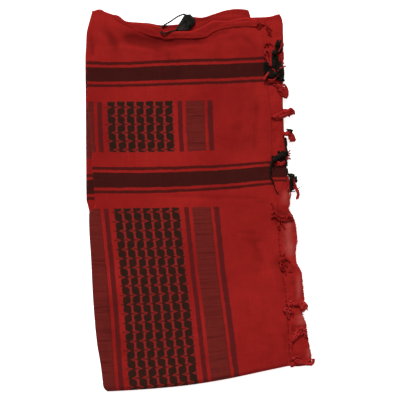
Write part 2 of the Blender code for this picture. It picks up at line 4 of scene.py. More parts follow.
import bmesh
import bpy
import numpy as np
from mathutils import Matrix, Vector, noise
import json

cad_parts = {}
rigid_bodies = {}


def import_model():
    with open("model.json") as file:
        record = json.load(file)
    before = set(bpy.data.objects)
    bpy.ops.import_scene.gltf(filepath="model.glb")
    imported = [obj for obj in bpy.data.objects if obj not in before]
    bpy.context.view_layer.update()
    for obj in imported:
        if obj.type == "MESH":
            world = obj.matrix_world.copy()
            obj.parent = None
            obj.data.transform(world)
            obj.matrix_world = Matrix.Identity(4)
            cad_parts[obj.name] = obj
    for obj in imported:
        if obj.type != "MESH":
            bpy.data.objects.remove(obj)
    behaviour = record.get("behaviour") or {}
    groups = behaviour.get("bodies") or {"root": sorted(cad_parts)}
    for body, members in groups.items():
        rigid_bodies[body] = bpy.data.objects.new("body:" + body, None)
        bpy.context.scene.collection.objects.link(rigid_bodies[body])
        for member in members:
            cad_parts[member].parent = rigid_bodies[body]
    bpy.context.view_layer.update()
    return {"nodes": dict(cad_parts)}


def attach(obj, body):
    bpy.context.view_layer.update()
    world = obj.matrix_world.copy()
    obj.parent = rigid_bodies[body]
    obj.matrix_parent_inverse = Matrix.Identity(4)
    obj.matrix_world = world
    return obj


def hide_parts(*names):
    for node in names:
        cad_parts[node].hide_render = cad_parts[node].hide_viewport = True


# A checked cotton scarf, folded to an eighth and laid flat, seen from straight above.
# Plans are in millimetres from the middle of the picture; heights are over the floor.
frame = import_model()
for thing in bpy.data.objects:
    thing.select_set(False)
print("frame loaded:", len(frame["nodes"]), "solids")

mm = 0.001
outlineMiddle = np.array((-2.13, -0.2, 0.0))

camera = {
    "aim": (0.44, -0.29),
    "height": 2500.0,
    "pictureWidth": 584.0,
    "referenceHeight": 8.0,
    "sensor": 36.0,
    "farClip": 20.0,
}

cloth = {
    "wall": 0.5,
    "solidWall": 1.2,
    "layerGap": 0.6,
    "stackTop": 11.3,
    "fringeFall": 2.6,
    "fringeFallRun": 42.0,
    "selvageFall": 1.6,
    "selvageFallRun": 24.0,
    "foldReach": 3.6,
    "footReach": 7.0,
    "foldReturn": 4.5,
    "cornerRadius": 9.0,
    "mitre": 14.0,
    "lobeSplit": 5.9,
    "lobeFrom": (16.0, 34.0),
    # painted shade: how much darker the colour is painted for each millimetre of crease and of broad fold,
    # and from where
    "creaseShade": 0.8,
    "foldShade": 0.5,
    "shadeFrom": 0.1,
    "length": 550.0,
    # how far the second layer falls past the front's edge, past the back's edge and at the head corner
    "secondSpread": 1.5,
    "edgeFall": (1.2, 22.0),
    "freeFall": (3.4, -6.0, 16.0),
    "cornerFall": (0.4, 250.0, 272.0, 84.0, 96.0),
    "thirdTop": 4.6,
    "thirdFall": (1.5, 246.0, 282.0),
    "marginLine": 250.0,
}

# Where cloth lines run on the front: X stations, cloth distance from the bottom fold, Y at each station
guideX = (-160.0, -135.0, -110.0, -60.0, -10.0, 40.0, 90.0, 130.0)
frontGuides = (
    (0.0, (-280.2, -280.0, -278.9, -275.4, -270.1, -261.9, -251.4, -243.0)),
    (261.0, (-13.4, -13.0, -12.4, -11.7, -10.8, -9.6, -7.9, -6.9)),
    (286.0, (9.2, 9.2, 9.2, 9.9, 12.1, 15.3, 20.4, 23.8)),
    (324.0, (49.1, 48.6, 48.2, 48.5, 49.9, 52.3, 56.4, 57.8)),
    (346.0, (69.5, 69.5, 69.5, 69.8, 71.0, 73.4, 77.8, 80.0)),
    (420.0, (142.8, 143.0, 143.1, 143.7, 144.4, 146.3, 150.1, 151.5)),
    (442.0, (164.4, 164.5, 164.7, 166.1, 167.8, 169.4, 172.3, 173.4)),
    (480.0, (202.2, 201.0, 200.9, 203.7, 205.6, 206.4, 209.1, 209.9)),
    (550.0, (276.0, 271.0, 253.7, 242.0, 243.5, 254.5, 259.6, 260.0)),
)
# Y, left fold X, fringed edge X
frontSides = (
    (-280.0, -140.5, 131.5), (-242.0, -144.5, 131.0), (-208.0, -150.2, 130.5), (-147.0, -155.6, 126.5),
    (-86.0, -158.7, 118.7), (-45.0, -161.3, 115.0), (-20.0, -161.6, 114.6), (-12.0, -155.5, 114.4),
    (-7.0, -153.2, 114.0), (9.0, -154.0, 109.5), (29.0, -155.8, 106.6), (49.0, -157.2, 105.6),
    (70.0, -157.4, 106.0), (90.0, -159.1, 105.8), (120.0, -162.4, 105.2), (143.0, -164.1, 102.6),
    (165.0, -164.3, 99.0), (202.0, -165.7, 96.0), (222.0, -166.0, 95.2), (244.0, -165.1, 91.0),
    (257.0, -162.0, 85.5), (274.0, -157.3, 82.0),
)
backSides = (
    (-276.0, -132.5, 142.0), (-246.0, -136.0, 146.0), (-205.0, -150.4, 147.0), (-150.0, -154.9, 143.0),
    (-120.0, -156.6, 142.0), (-98.0, -158.0, 136.0), (-82.0, -159.0, 127.5), (-22.0, -161.2, 125.0),
    (-8.0, -163.6, 122.8), (0.0, -165.8, 122.0), (60.0, -166.3, 121.0), (146.0, -166.8, 118.0),
    (205.0, -167.4, 117.0), (222.0, -166.6, 117.0), (244.0, -164.4, 117.0), (270.0, -157.0, 116.0),
)
# Y, outer edge X of the second layer
secondEdge = (
    (-244.0, 162.0), (-236.0, 163.2), (-226.0, 163.0), (-212.0, 160.4), (-195.0, 157.4), (-180.0, 155.6),
    (-171.0, 151.4), (-165.0, 150.4), (-156.0, 153.6), (-150.0, 153.6), (-135.0, 152.1), (-116.0, 150.2),
    (-105.0, 148.9), (-94.0, 142.9), (-86.0, 140.9), (-68.0, 141.2), (-60.0, 143.1), (-50.0, 142.1),
    (-32.0, 139.9), (-20.0, 134.2), (-12.0, 130.0), (-8.0, 132.0),
    (4.0, 131.6), (14.0, 131.0), (25.0, 130.2), (36.0, 128.8), (44.0, 127.8), (53.0, 126.8), (66.0, 126.8),
    (76.0, 126.2), (88.0, 124.8), (100.0, 123.6), (120.0, 122.6), (140.0, 121.7), (160.0, 121.9),
    (200.0, 122.4), (252.0, 122.2), (266.0, 120.0), (272.0, 117.0),
)
# X, foot Y, head Y of the second layer
secondEnds = (
    (-140.0, -262.0, 222.0), (60.0, -246.0, 226.0), (70.0, -244.6, 240.0), (74.0, -244.0, 266.4),
    (88.0, -243.0, 267.0), (98.0, -241.4, 267.6), (106.0, -239.8, 268.8), (112.0, -238.6, 270.8),
    (118.0, -237.4, 272.0), (122.0, -241.0, 271.6), (134.0, -243.0, 271.0),
    (145.0, -243.4, 271.0), (160.0, -242.0, 271.0),
)
# X, free edge Y, fold Y of the head that is turned over the front
turnedMargin = (
    (-100.0, 250.5, 258.0), (-86.0, 243.5, 257.6), (-70.0, 238.2, 255.4), (-58.0, 236.0, 252.2),
    (-50.0, 233.6, 246.4), (-36.0, 235.0, 246.0), (-12.0, 235.0, 246.4), (8.0, 236.4, 255.0),
    (20.0, 243.8, 261.6), (32.0, 248.6, 261.2), (40.0, 250.0, 260.8), (50.0, 251.6, 263.6),
    (60.0, 252.2, 265.4), (72.0, 252.6, 266.0), (84.0, 252.0, 263.0),
)
thirdHead = (
    (-146.0, 277.4), (-138.0, 275.0), (-128.0, 271.4), (-119.0, 269.4), (-108.0, 261.4), (-88.0, 259.4),
    (-74.0, 258.4), (-58.0, 255.6), (-32.0, 256.4), (-14.0, 267.6), (4.0, 266.8), (20.0, 271.6),
    (37.0, 277.0), (52.0, 279.3), (64.0, 279.0), (71.5, 277.0), (74.4, 267.5),
)
# Broad folds of the stack: start X Y, end X Y, half width, height
broadFolds = (
    (-150.0, 262.0, -104.0, 244.0, 12.0, 0.8), (-104.0, 232.0, -40.0, 226.0, 12.0, -1.0),
    (-140.0, 190.0, -146.0, 90.0, 18.0, 0.4), (60.0, 150.0, 58.0, 76.0, 15.0, -0.5),
    (78.0, -56.0, 88.0, -98.0, 14.0, -0.5), (20.0, -150.0, 70.0, -228.0, 30.0, 0.6),
    (-128.0, -70.0, -124.0, -226.0, 16.0, -0.4),
)
# Left line of the checked block on the front: Y, X (239.9 mm of cloth from the fringed edge)
checkLine = ((-280.0, -103.4), (-248.6, -106.1), (-146.3, -113.4), (-22.2, -125.7), (-7.6, -127.3),
             (72.7, -133.2), (109.2, -135.3), (204.0, -137.5), (280.0, -138.4))


def curveThrough(keys, values, at):
    # smooth values through table entries, flat past both ends
    keys = np.asarray(keys, float)
    values = np.asarray(values, float)
    at = np.clip(np.asarray(at, float), keys[0], keys[-1])
    i = np.clip(np.searchsorted(keys, at, side="right") - 1, 0, len(keys) - 2)
    spans = np.diff(keys)
    secants = np.diff(values) / spans
    inner = (values[2:] - values[:-2]) / (keys[2:] - keys[:-2])
    slopes = np.concatenate(([secants[0]], inner, [secants[-1]]))
    step = (at - keys[i]) / spans[i]
    limit = 2.5 * np.abs(secants[i])
    before = np.clip(slopes[i], -limit, limit)
    after = np.clip(slopes[i + 1], -limit, limit)
    total = (2 * step ** 3 - 3 * step ** 2 + 1) * values[i]
    total = total + (step ** 3 - 2 * step ** 2 + step) * spans[i] * before
    total = total + (3 * step ** 2 - 2 * step ** 3) * values[i + 1]
    return total + (step ** 3 - step ** 2) * spans[i] * after


def column(table, index, at):
    return curveThrough([row[0] for row in table], [row[index] for row in table], at)


def blend(low, high, value):
    share = np.clip((np.asarray(value, float) - low) / (high - low), 0.0, 1.0)
    return share * share * (3.0 - 2.0 * share)


def guideY(x, clothY):
    # world Y of a cloth line on the front, for arrays of the same size
    x = np.asarray(x, float)
    heights = np.array([curveThrough(guideX, line[1], x) for line in frontGuides])
    lines = np.array([line[0] for line in frontGuides])
    clothY = np.clip(np.asarray(clothY, float), 0.0, cloth["length"])
    i = np.clip(np.searchsorted(lines, clothY, side="right") - 1, 0, len(lines) - 2)
    share = (clothY - lines[i]) / (lines[i + 1] - lines[i])
    pick = np.arange(len(x))
    return heights[i, pick] * (1.0 - share) + heights[i + 1, pick] * share


def foldField(folds, x, y, spread=1.0, troughsOnly=False):
    total = np.zeros_like(x)
    for x0, y0, x1, y1, halfWidth, height in folds:
        if troughsOnly and height > 0.0:
            continue
        run = (x1 - x0, y1 - y0)
        length = run[0] ** 2 + run[1] ** 2
        share = np.clip(((x - x0) * run[0] + (y - y0) * run[1]) / length, 0.0, 1.0)
        apart = np.hypot(x - x0 - share * run[0], y - y0 - share * run[1])
        total += height * np.exp(-(apart / (halfWidth * spread)) ** 2)
    return total


def creaseField(creases, x, y):
    # narrow creases, bowed sideways, that fade out towards both ends
    total = np.zeros_like(x)
    for x0, y0, x1, y1, bow, halfWidth, height in creases:
        length = math.hypot(x1 - x0, y1 - y0)
        alongX, alongY = (x1 - x0) / length, (y1 - y0) / length
        share = ((x - x0) * alongX + (y - y0) * alongY) / length
        aside = (y - y0) * alongX - (x - x0) * alongY - bow * 4.0 * share * (1.0 - share)
        fade = blend(-0.12, 0.25, share) * (1.0 - blend(0.75, 1.12, share))
        width = halfWidth * (0.7 + 0.3 * fade)
        total += height * fade * np.exp(-(aside / width) ** 2)
    return total


def roughField(x, y, size, seed):
    return np.array([noise.noise(Vector((a / size, b / size, seed))) for a, b in zip(x, y)])


def slowWaves(waves, x, y, seed):
    # tall broad waves and low fine ones
    tall, broad, low, fine = waves
    return tall * roughField(x, y, broad, seed) + low * roughField(x, y, fine, seed + 1.0)


def ridge(inset, middle, halfWidth):
    return np.exp(-((inset - middle) / halfWidth) ** 2)


def edgeWave(at, size, seed):
    return roughField(np.zeros_like(at), at, size, seed)


def crownBase(x, y):
    fringe = column(frontSides, 2, y)
    head = curveThrough(guideX, frontGuides[-1][1], x)
    fall = cloth["fringeFall"] * np.exp(-(np.maximum(0.0, fringe - x) / cloth["fringeFallRun"]) ** 2)
    fall += cloth["selvageFall"] * np.exp(-(np.maximum(0.0, head - y) / cloth["selvageFallRun"]) ** 2)
    return cloth["stackTop"] - fall


def frontCrown(x, y):
    return crownBase(x, y) + foldField(broadFolds, x, y)


def secondTop(x, y):
    fringe = column(frontSides, 2, y)
    support = column(backSides, 2, y)
    hollows = foldField(broadFolds, x, y, cloth["secondSpread"], True)
    base = crownBase(x, y) + hollows - cloth["solidWall"] - cloth["layerGap"]
    height, run = cloth["edgeFall"]
    fall = height * blend(0.0, run, x - fringe)
    height, low, high = cloth["freeFall"]
    fall += height * blend(low, high, x - support)
    height, low, high, left, right = cloth["cornerFall"]
    fall += height * blend(low, high, y) * blend(left, right, x)
    return base - fall


def thirdTop(x, y):
    crown = frontCrown(x, np.minimum(y, cloth["marginLine"]))
    underMargin = crown - 3.0 * cloth["solidWall"] - cloth["layerGap"]
    height, low, high = cloth["thirdFall"]
    return np.minimum(cloth["thirdTop"], underMargin) - height * blend(low, high, y)


def gridObject(name, columns, rows):
    # a flat primitive grid, and each vertex's column and row
    bpy.ops.mesh.primitive_grid_add(x_subdivisions=columns - 1, y_subdivisions=rows - 1, size=1.0)
    piece = bpy.context.object
    piece.name = name
    piece.data.name = name
    places = np.empty(len(piece.data.vertices) * 3)
    piece.data.vertices.foreach_get("co", places)
    places = places.reshape(-1, 3)
    i = np.rint((places[:, 0] + 0.5) * (columns - 1)).astype(int)
    j = np.rint((places[:, 1] + 0.5) * (rows - 1)).astype(int)
    return piece, i, j


def setPoints(piece, points):
    world = (np.asarray(points) - outlineMiddle) * mm
    piece.data.vertices.foreach_set("co", world.ravel())
    piece.data.update()


def writeMap(piece, mapName, u, v):
    # one map value for each vertex, copied to its corners
    layer = piece.data.uv_layers.get(mapName) or piece.data.uv_layers.new(name=mapName)
    corners = np.empty(len(piece.data.loops), dtype=np.int64)
    piece.data.loops.foreach_get("vertex_index", corners)
    layer.data.foreach_set("uv", np.column_stack((u[corners], v[corners])).ravel())


def writeShade(piece, name, values):
    # a per-vertex share of painted shade or painted light, read by the cloth material
    layer = piece.data.attributes.new(name, "FLOAT", "POINT")
    layer.data.foreach_set("value", np.clip(values, 0.0, 1.0))


def applyModifier(piece, modifier):
    bpy.ops.object.select_all(action="DESELECT")
    piece.select_set(True)
    bpy.context.view_layer.objects.active = piece
    bpy.ops.object.modifier_apply(modifier=modifier.name)


# left, low, width and height of each side of a sheet on the bake map
bakePlaces = {
    "outer": (0.0, 0.0, 0.56, 1.0),
    "inner": (0.6, 0.0, 0.38, 0.7),
    "rim": (0.6, 0.75, 0.38, 0.2),
}


def giveWall(piece, thickness, outerPlace):
    # thickens a sheet under its outer face, and keeps its sides apart on the bake map
    faces = len(piece.data.polygons)
    wall = piece.modifiers.new("clothWall", "SOLIDIFY")
    wall.thickness = thickness * mm
    wall.offset = -1.0
    wall.use_quality_normals = True
    applyModifier(piece, wall)
    points = np.empty(len(piece.data.vertices) * 3)
    piece.data.vertices.foreach_get("co", points)
    points[2::3] = np.maximum(points[2::3], 0.0)
    piece.data.vertices.foreach_set("co", points)
    bake = piece.data.uv_layers["OFBake"]
    values = np.empty(len(piece.data.loops) * 2)
    bake.data.foreach_get("uv", values)
    values = values.reshape(-1, 2)
    starts = np.empty(len(piece.data.polygons), dtype=np.int64)
    sizes = np.empty(len(piece.data.polygons), dtype=np.int64)
    piece.data.polygons.foreach_get("loop_start", starts)
    piece.data.polygons.foreach_get("loop_total", sizes)
    sides = ((0, faces, outerPlace), (faces, 2 * faces, bakePlaces["inner"]),
             (2 * faces, len(starts), bakePlaces["rim"]))
    for first, last, (left, low, width, height) in sides:
        for start, size in zip(starts[first:last], sizes[first:last]):
            values[start:start + size, 0] = left + values[start:start + size, 0] * width
            values[start:start + size, 1] = low + values[start:start + size, 1] * height
    bake.data.foreach_set("uv", values.ravel())
    piece.data.shade_smooth()


def mergeDoubles(piece, distance=0.00002):
    bpy.ops.object.select_all(action="DESELECT")
    piece.select_set(True)
    bpy.context.view_layer.objects.active = piece
    bpy.ops.object.mode_set(mode="EDIT")
    bpy.ops.mesh.select_all(action="SELECT")
    bpy.ops.mesh.remove_doubles(threshold=distance)
    bpy.ops.mesh.dissolve_degenerate(threshold=distance)
    bpy.ops.object.mode_set(mode="OBJECT")
    bpy.ops.object.select_all(action="DESELECT")


# Shader node groups

def nodeGroup(name, inputs, outputs):
    group = bpy.data.node_groups.new(name, "ShaderNodeTree")
    for socketName, kind, value in inputs:
        socket = group.interface.new_socket(name=socketName, in_out="INPUT", socket_type=kind)
        if value is not None:
            socket.default_value = value
    for socketName, kind in outputs:
        group.interface.new_socket(name=socketName, in_out="OUTPUT", socket_type=kind)
    return group, group.nodes.new("NodeGroupInput"), group.nodes.new("NodeGroupOutput")


def maths(tree, operation, first, second=None, third=None, clamp=False):
    node = tree.nodes.new("ShaderNodeMath")
    node.operation = operation
    node.use_clamp = clamp
    for index, value in enumerate((first, second, third)):
        if value is None:
            continue
        if isinstance(value, (int, float)):
            node.inputs[index].default_value = value
        else:
            tree.links.new(value, node.inputs[index])
    return node.outputs[0]


def softStep(tree, value, low, high):
    node = tree.nodes.new("ShaderNodeMapRange")
    node.interpolation_type = "SMOOTHSTEP"
    node.inputs["From Min"].default_value = low
    node.inputs["From Max"].default_value = high
    tree.links.new(value, node.inputs["Value"])
    return node.outputs["Result"]


def between(tree, value, low, high, soft):
    rising = softStep(tree, value, low - soft, low + soft)
    falling = softStep(tree, value, high - soft, high + soft)
    return maths(tree, "SUBTRACT", rising, falling, clamp=True)


def noiseOf(tree, vector, scale, detail=2.0, roughness=0.5, output="Fac"):
    node = tree.nodes.new("ShaderNodeTexNoise")
    node.inputs["Scale"].default_value = scale
    node.inputs["Detail"].default_value = detail
    node.inputs["Roughness"].default_value = roughness
    tree.links.new(vector, node.inputs["Vector"])
    return node.outputs[output]


def vectorMaths(tree, operation, vector, second, third=None):
    # second and third are fixed vectors or other nodes' outputs
    node = tree.nodes.new("ShaderNodeVectorMath")
    node.operation = operation
    tree.links.new(vector, node.inputs[0])
    for index, value in ((1, second), (2, third)):
        if isinstance(value, tuple):
            node.inputs[index].default_value = value
        elif value is not None:
            tree.links.new(value, node.inputs[index])
    return node.outputs[0]


def mixColor(tree, factor, first, second):
    node = tree.nodes.new("ShaderNodeMix")
    node.data_type = "RGBA"
    for index, value in ((0, factor), (6, first), (7, second)):
        if isinstance(value, tuple):
            node.inputs[index].default_value = (*value, 1.0)
        else:
            tree.links.new(value, node.inputs[index])
    return node.outputs[2]


# The woven check, in millimetres of cloth: s from the fringed edge, t from the bottom fold
weaving = {
    "thinStrips": ((85.0, 92.5), (129.4, 135.9), (246.4, 253.4), (290.9, 297.4)),
    "ribbedStrips": ((96.9, 124.4), (258.4, 285.9)),
    "check": (141.9, 239.9),
    "checkColumn": 14.0,
    "blocks": ((-20.0, 261.0), (346.0, 420.0)),
    "lowerJoint": (255.2, 13.2),
    "upperJoint": (411.8, 12.45),
    "cuspReach": 0.50,
    "cuspHeight": 0.25,
    "lineHalf": 0.075,
    "spotHalf": (0.425, 0.53),
    "barHalf": 0.11,
    "pointHalf": 0.12,
    # how far lines wander, and how softly strips, bands and the check begin
    "wander": 1.3,
    "wanderScale": 0.11,
    "stripSoft": 0.7,
    "bandSoft": 0.6,
    "thinBandStrength": 0.9,
    # rows of weft in the ribbed strips: scale across, scale along, low, high, strength
    "fineRows": (0.012, 0.62, 0.46, 0.62, 0.55),
    "strongRows": (0.010, 0.17, 0.55, 0.68, 0.75),
    "ribEdge": (1.5, 0.5, 0.6),
    "upperFrom": 300.0,
    "wideBands": ((294.2, 315.4), (450.2, 471.4)),
    "thinBands": ((286.0, 290.2), (319.2, 323.6), (442.0, 446.2), (475.4, 480.0)),
}


def makeCheckGroup():
    # the check's colour masks, from a place on the cloth
    group, given, result = nodeGroup(
        "wovenCheck", (("Cloth", "NodeSocketVector", None),),
        (("Bands", "NodeSocketFloat"), ("Strips", "NodeSocketFloat"), ("Ribs", "NodeSocketFloat"),
         ("Check", "NodeSocketFloat"), ("Core", "NodeSocketFloat"), ("Lines", "NodeSocketFloat"),
         ("Striae", "NodeSocketFloat")))
    scaled = vectorMaths(group, "MULTIPLY", given.outputs["Cloth"], (1000.0, 1000.0, 1000.0))
    wander = weaving["wander"]
    drift = noiseOf(group, scaled, weaving["wanderScale"], 4.0, 0.5, "Color")
    reach, middle = (2.0 * wander, 2.0 * wander, 0.0), (-wander, -wander, 0.0)
    drift = vectorMaths(group, "MULTIPLY_ADD", drift, reach, middle)
    split = group.nodes.new("ShaderNodeSeparateXYZ")
    group.links.new(vectorMaths(group, "ADD", scaled, drift), split.inputs[0])
    s, t = split.outputs[0], split.outputs[1]

    def anyOf(value, spans, soft):
        total = None
        for low, high in spans:
            part = between(group, value, low, high, soft)
            total = part if total is None else maths(group, "MAXIMUM", total, part)
        return total

    def rowsOf(across, along, low, high, strength):
        # fine rows of weft, long across the cloth
        stretched = vectorMaths(group, "MULTIPLY", scaled, (across, along, 0.0))
        return maths(group, "MULTIPLY", softStep(group, noiseOf(group, stretched, 1.0), low, high), strength)

    soft = weaving["stripSoft"]
    inBlock = anyOf(t, weaving["blocks"], soft)
    wide = anyOf(t, weaving["wideBands"], weaving["bandSoft"])
    thin = anyOf(t, weaving["thinBands"], weaving["bandSoft"])
    bands = maths(group, "MAXIMUM", wide, maths(group, "MULTIPLY", thin, weaving["thinBandStrength"]))
    group.links.new(bands, result.inputs["Bands"])
    strips = maths(group, "MULTIPLY", anyOf(s, weaving["thinStrips"], soft), inBlock)
    group.links.new(strips, result.inputs["Strips"])
    ribbed = maths(group, "MULTIPLY", anyOf(s, weaving["ribbedStrips"], soft), inBlock)
    group.links.new(ribbed, result.inputs["Ribs"])
    rows = maths(group, "ADD", rowsOf(*weaving["fineRows"]), rowsOf(*weaving["strongRows"]), clamp=True)
    width, edgeSoft, strength = weaving["ribEdge"]
    edgeSpans = [(low, low + width) for low, high in weaving["ribbedStrips"]]
    edgeLine = maths(group, "MULTIPLY", anyOf(s, edgeSpans, edgeSoft), strength)
    group.links.new(maths(group, "MAXIMUM", rows, edgeLine), result.inputs["Striae"])

    # houndstooth: red lines between the columns swing left at one joint and right at the next
    left, right = weaving["check"]
    c = maths(group, "DIVIDE", maths(group, "SUBTRACT", right, s), weaving["checkColumn"])
    lower, upper = weaving["lowerJoint"], weaving["upperJoint"]
    lowRow = maths(group, "DIVIDE", maths(group, "SUBTRACT", lower[0], t), lower[1])
    highRow = maths(group, "DIVIDE", maths(group, "SUBTRACT", upper[0], t), upper[1])
    highRow = maths(group, "ADD", highRow, 1.0)
    inUpper = maths(group, "GREATER_THAN", t, weaving["upperFrom"])
    row = maths(group, "MULTIPLY_ADD", maths(group, "SUBTRACT", highRow, lowRow), inUpper, lowRow)
    joint = maths(group, "ROUND", row)
    offJoint = maths(group, "ABSOLUTE", maths(group, "SUBTRACT", row, joint))
    turn = maths(group, "MULTIPLY_ADD", maths(group, "FLOORED_MODULO", joint, 2.0), 2.0, -1.0)
    near = maths(group, "SUBTRACT", 1.0, maths(group, "DIVIDE", offJoint, weaving["cuspHeight"]), clamp=True)
    cusp = maths(group, "MULTIPLY", maths(group, "POWER", near, 1.3), weaving["cuspReach"])
    fromLine = maths(group, "SUBTRACT", c, maths(group, "MULTIPLY", cusp, turn))
    aside = maths(group, "SUBTRACT", fromLine, maths(group, "ROUND", fromLine))
    offLine = maths(group, "ABSOLUTE", aside)
    behind = maths(group, "MULTIPLY", aside, maths(group, "MULTIPLY", turn, -1.0))
    inMouth = maths(group, "MULTIPLY", softStep(group, behind, -0.02, 0.06), near)
    patches = softStep(group, noiseOf(group, scaled, 0.085, 1.0, 0.4), 0.42, 0.60)
    half = maths(group, "MULTIPLY_ADD", maths(group, "SQRT", near), 0.012, weaving["lineHalf"])
    past = maths(group, "SUBTRACT", offLine, half)
    # round spots between the lines, joined by short dark bars
    across = maths(group, "ABSOLUTE", maths(group, "SUBTRACT", maths(group, "FRACT", c), 0.5))
    fromMiddle = maths(group, "SUBTRACT", 0.5, offJoint)
    spotX = maths(group, "POWER", maths(group, "DIVIDE", across, weaving["spotHalf"][0]), 2.4)
    spotY = maths(group, "POWER", maths(group, "DIVIDE", fromMiddle, weaving["spotHalf"][1]), 2.4)
    outside = softStep(group, maths(group, "ADD", spotX, spotY), 0.72, 1.30)
    offBar = softStep(group, offJoint, weaving["barHalf"] - 0.03, weaving["barHalf"] + 0.05)
    free = maths(group, "MAXIMUM", offBar, maths(group, "MULTIPLY", inMouth, 0.35))
    filled = maths(group, "SUBTRACT", 1.0, maths(group, "MULTIPLY", outside, free), clamp=True)
    dark = maths(group, "MULTIPLY", softStep(group, past, -0.07, 0.06), filled)
    patchy = maths(group, "MULTIPLY_ADD", patches, 0.22, 0.78)
    core = maths(group, "MULTIPLY", softStep(group, past, 0.0, 0.15), patchy)
    core = maths(group, "MULTIPLY", core, maths(group, "MULTIPLY_ADD", inMouth, -0.85, 1.0))
    group.links.new(core, result.inputs["Core"])
    # small dark points stand out past the left line at each joint
    point = maths(group, "DIVIDE", offJoint, weaving["pointHalf"])
    point = maths(group, "SUBTRACT", 1.0, point, clamp=True)
    leftLimit = maths(group, "MULTIPLY_ADD", point, -0.30, 0.07)
    fromLeft = softStep(group, maths(group, "SUBTRACT", c, leftLimit), -0.04, 0.04)
    pastLeft = maths(group, "LESS_THAN", c, 0.06)
    pointDark = maths(group, "MULTIPLY", maths(group, "MULTIPLY", point, 0.6), pastLeft)
    dark = maths(group, "MAXIMUM", dark, pointDark)
    columns = maths(group, "SUBTRACT", fromLeft, softStep(group, c, 6.95, 7.03), clamp=True)
    inCheck = maths(group, "MULTIPLY", columns, inBlock)
    group.links.new(maths(group, "MULTIPLY", dark, inCheck), result.inputs["Check"])
    lines = maths(group, "MULTIPLY", maths(group, "SUBTRACT", 1.0, dark, clamp=True), inCheck)
    group.links.new(lines, result.inputs["Lines"])
    return group


def makeWeaveGroup():
    # plain weave of single yarns: a height for the bump and a slow unevenness of the dye
    group, given, result = nodeGroup(
        "plainWeave",
        (("Cloth", "NodeSocketVector", None), ("Yarns per metre", "NodeSocketFloat", 1300.0)),
        (("Height", "NodeSocketFloat"), ("Dye", "NodeSocketFloat"), ("Slub", "NodeSocketFloat")))
    split = group.nodes.new("ShaderNodeSeparateXYZ")
    group.links.new(given.outputs["Cloth"], split.inputs[0])
    turn = maths(group, "MULTIPLY", given.outputs["Yarns per metre"], math.pi)
    across = maths(group, "SINE", maths(group, "MULTIPLY", split.outputs[0], turn))
    along = maths(group, "SINE", maths(group, "MULTIPLY", split.outputs[1], turn))
    weave = maths(group, "MULTIPLY", maths(group, "ABSOLUTE", across), maths(group, "ABSOLUTE", along))

    def slubsAlong(stretch):
        # thick and thin places of the yarns that run one way
        stretched = vectorMaths(group, "MULTIPLY", given.outputs["Cloth"], stretch)
        return maths(group, "MULTIPLY", noiseOf(group, stretched, 40.0, 4.0, 0.6), 0.5)

    uneven = maths(group, "ADD", slubsAlong((1.0, 14.0, 1.0)), slubsAlong((14.0, 1.0, 1.0)))
    height = maths(group, "ADD", maths(group, "MULTIPLY", weave, 0.6), uneven)
    group.links.new(height, result.inputs["Height"])
    group.links.new(noiseOf(group, given.outputs["Cloth"], 9.0, 5.0, 0.55), result.inputs["Dye"])
    group.links.new(uneven, result.inputs["Slub"])
    return group


checkGroup = makeCheckGroup()
weaveGroup = makeWeaveGroup()

dyes = {
    "red": (0.300, 0.0130, 0.0105),
    "redDeep": (0.225, 0.0085, 0.0075),
    "redLine": (0.208, 0.0195, 0.0180),
    "band": (0.0370, 0.0062, 0.0050),
    "rib": (0.118, 0.0138, 0.0112),
    "ribRow": (0.060, 0.0074, 0.0056),
    "strip": (0.074, 0.0088, 0.0084),
    "checkCore": (0.0138, 0.0098, 0.0060),
    "checkEdge": (0.0560, 0.0064, 0.0054),
    # pale: the colour painted where light comes through the cloth
    "pale": (0.370, 0.0620, 0.0520),
    "inner": (0.210, 0.0085, 0.0070),
}


def newMaterial(name, roughness, specular):
    material = bpy.data.materials.new(name)
    material.use_nodes = True
    tree = material.node_tree
    shader = tree.nodes["Principled BSDF"]
    shader.inputs["Roughness"].default_value = roughness
    shader.inputs["Specular IOR Level"].default_value = specular
    return material, tree, shader


def finishSurface(tree, shader, color, value, height, strength, distance):
    # the colour made lighter and darker by a value, and a bump
    tint = tree.nodes.new("ShaderNodeHueSaturation")
    tree.links.new(color, tint.inputs["Color"])
    tree.links.new(value, tint.inputs["Value"])
    tree.links.new(tint.outputs["Color"], shader.inputs["Base Color"])
    bump = tree.nodes.new("ShaderNodeBump")
    bump.inputs["Strength"].default_value = strength
    bump.inputs["Distance"].default_value = distance
    tree.links.new(height, bump.inputs["Height"])
    tree.links.new(bump.outputs["Normal"], shader.inputs["Normal"])


def attributeOf(tree, name):
    node = tree.nodes.new("ShaderNodeAttribute")
    node.attribute_name = name
    return node.outputs["Fac"]


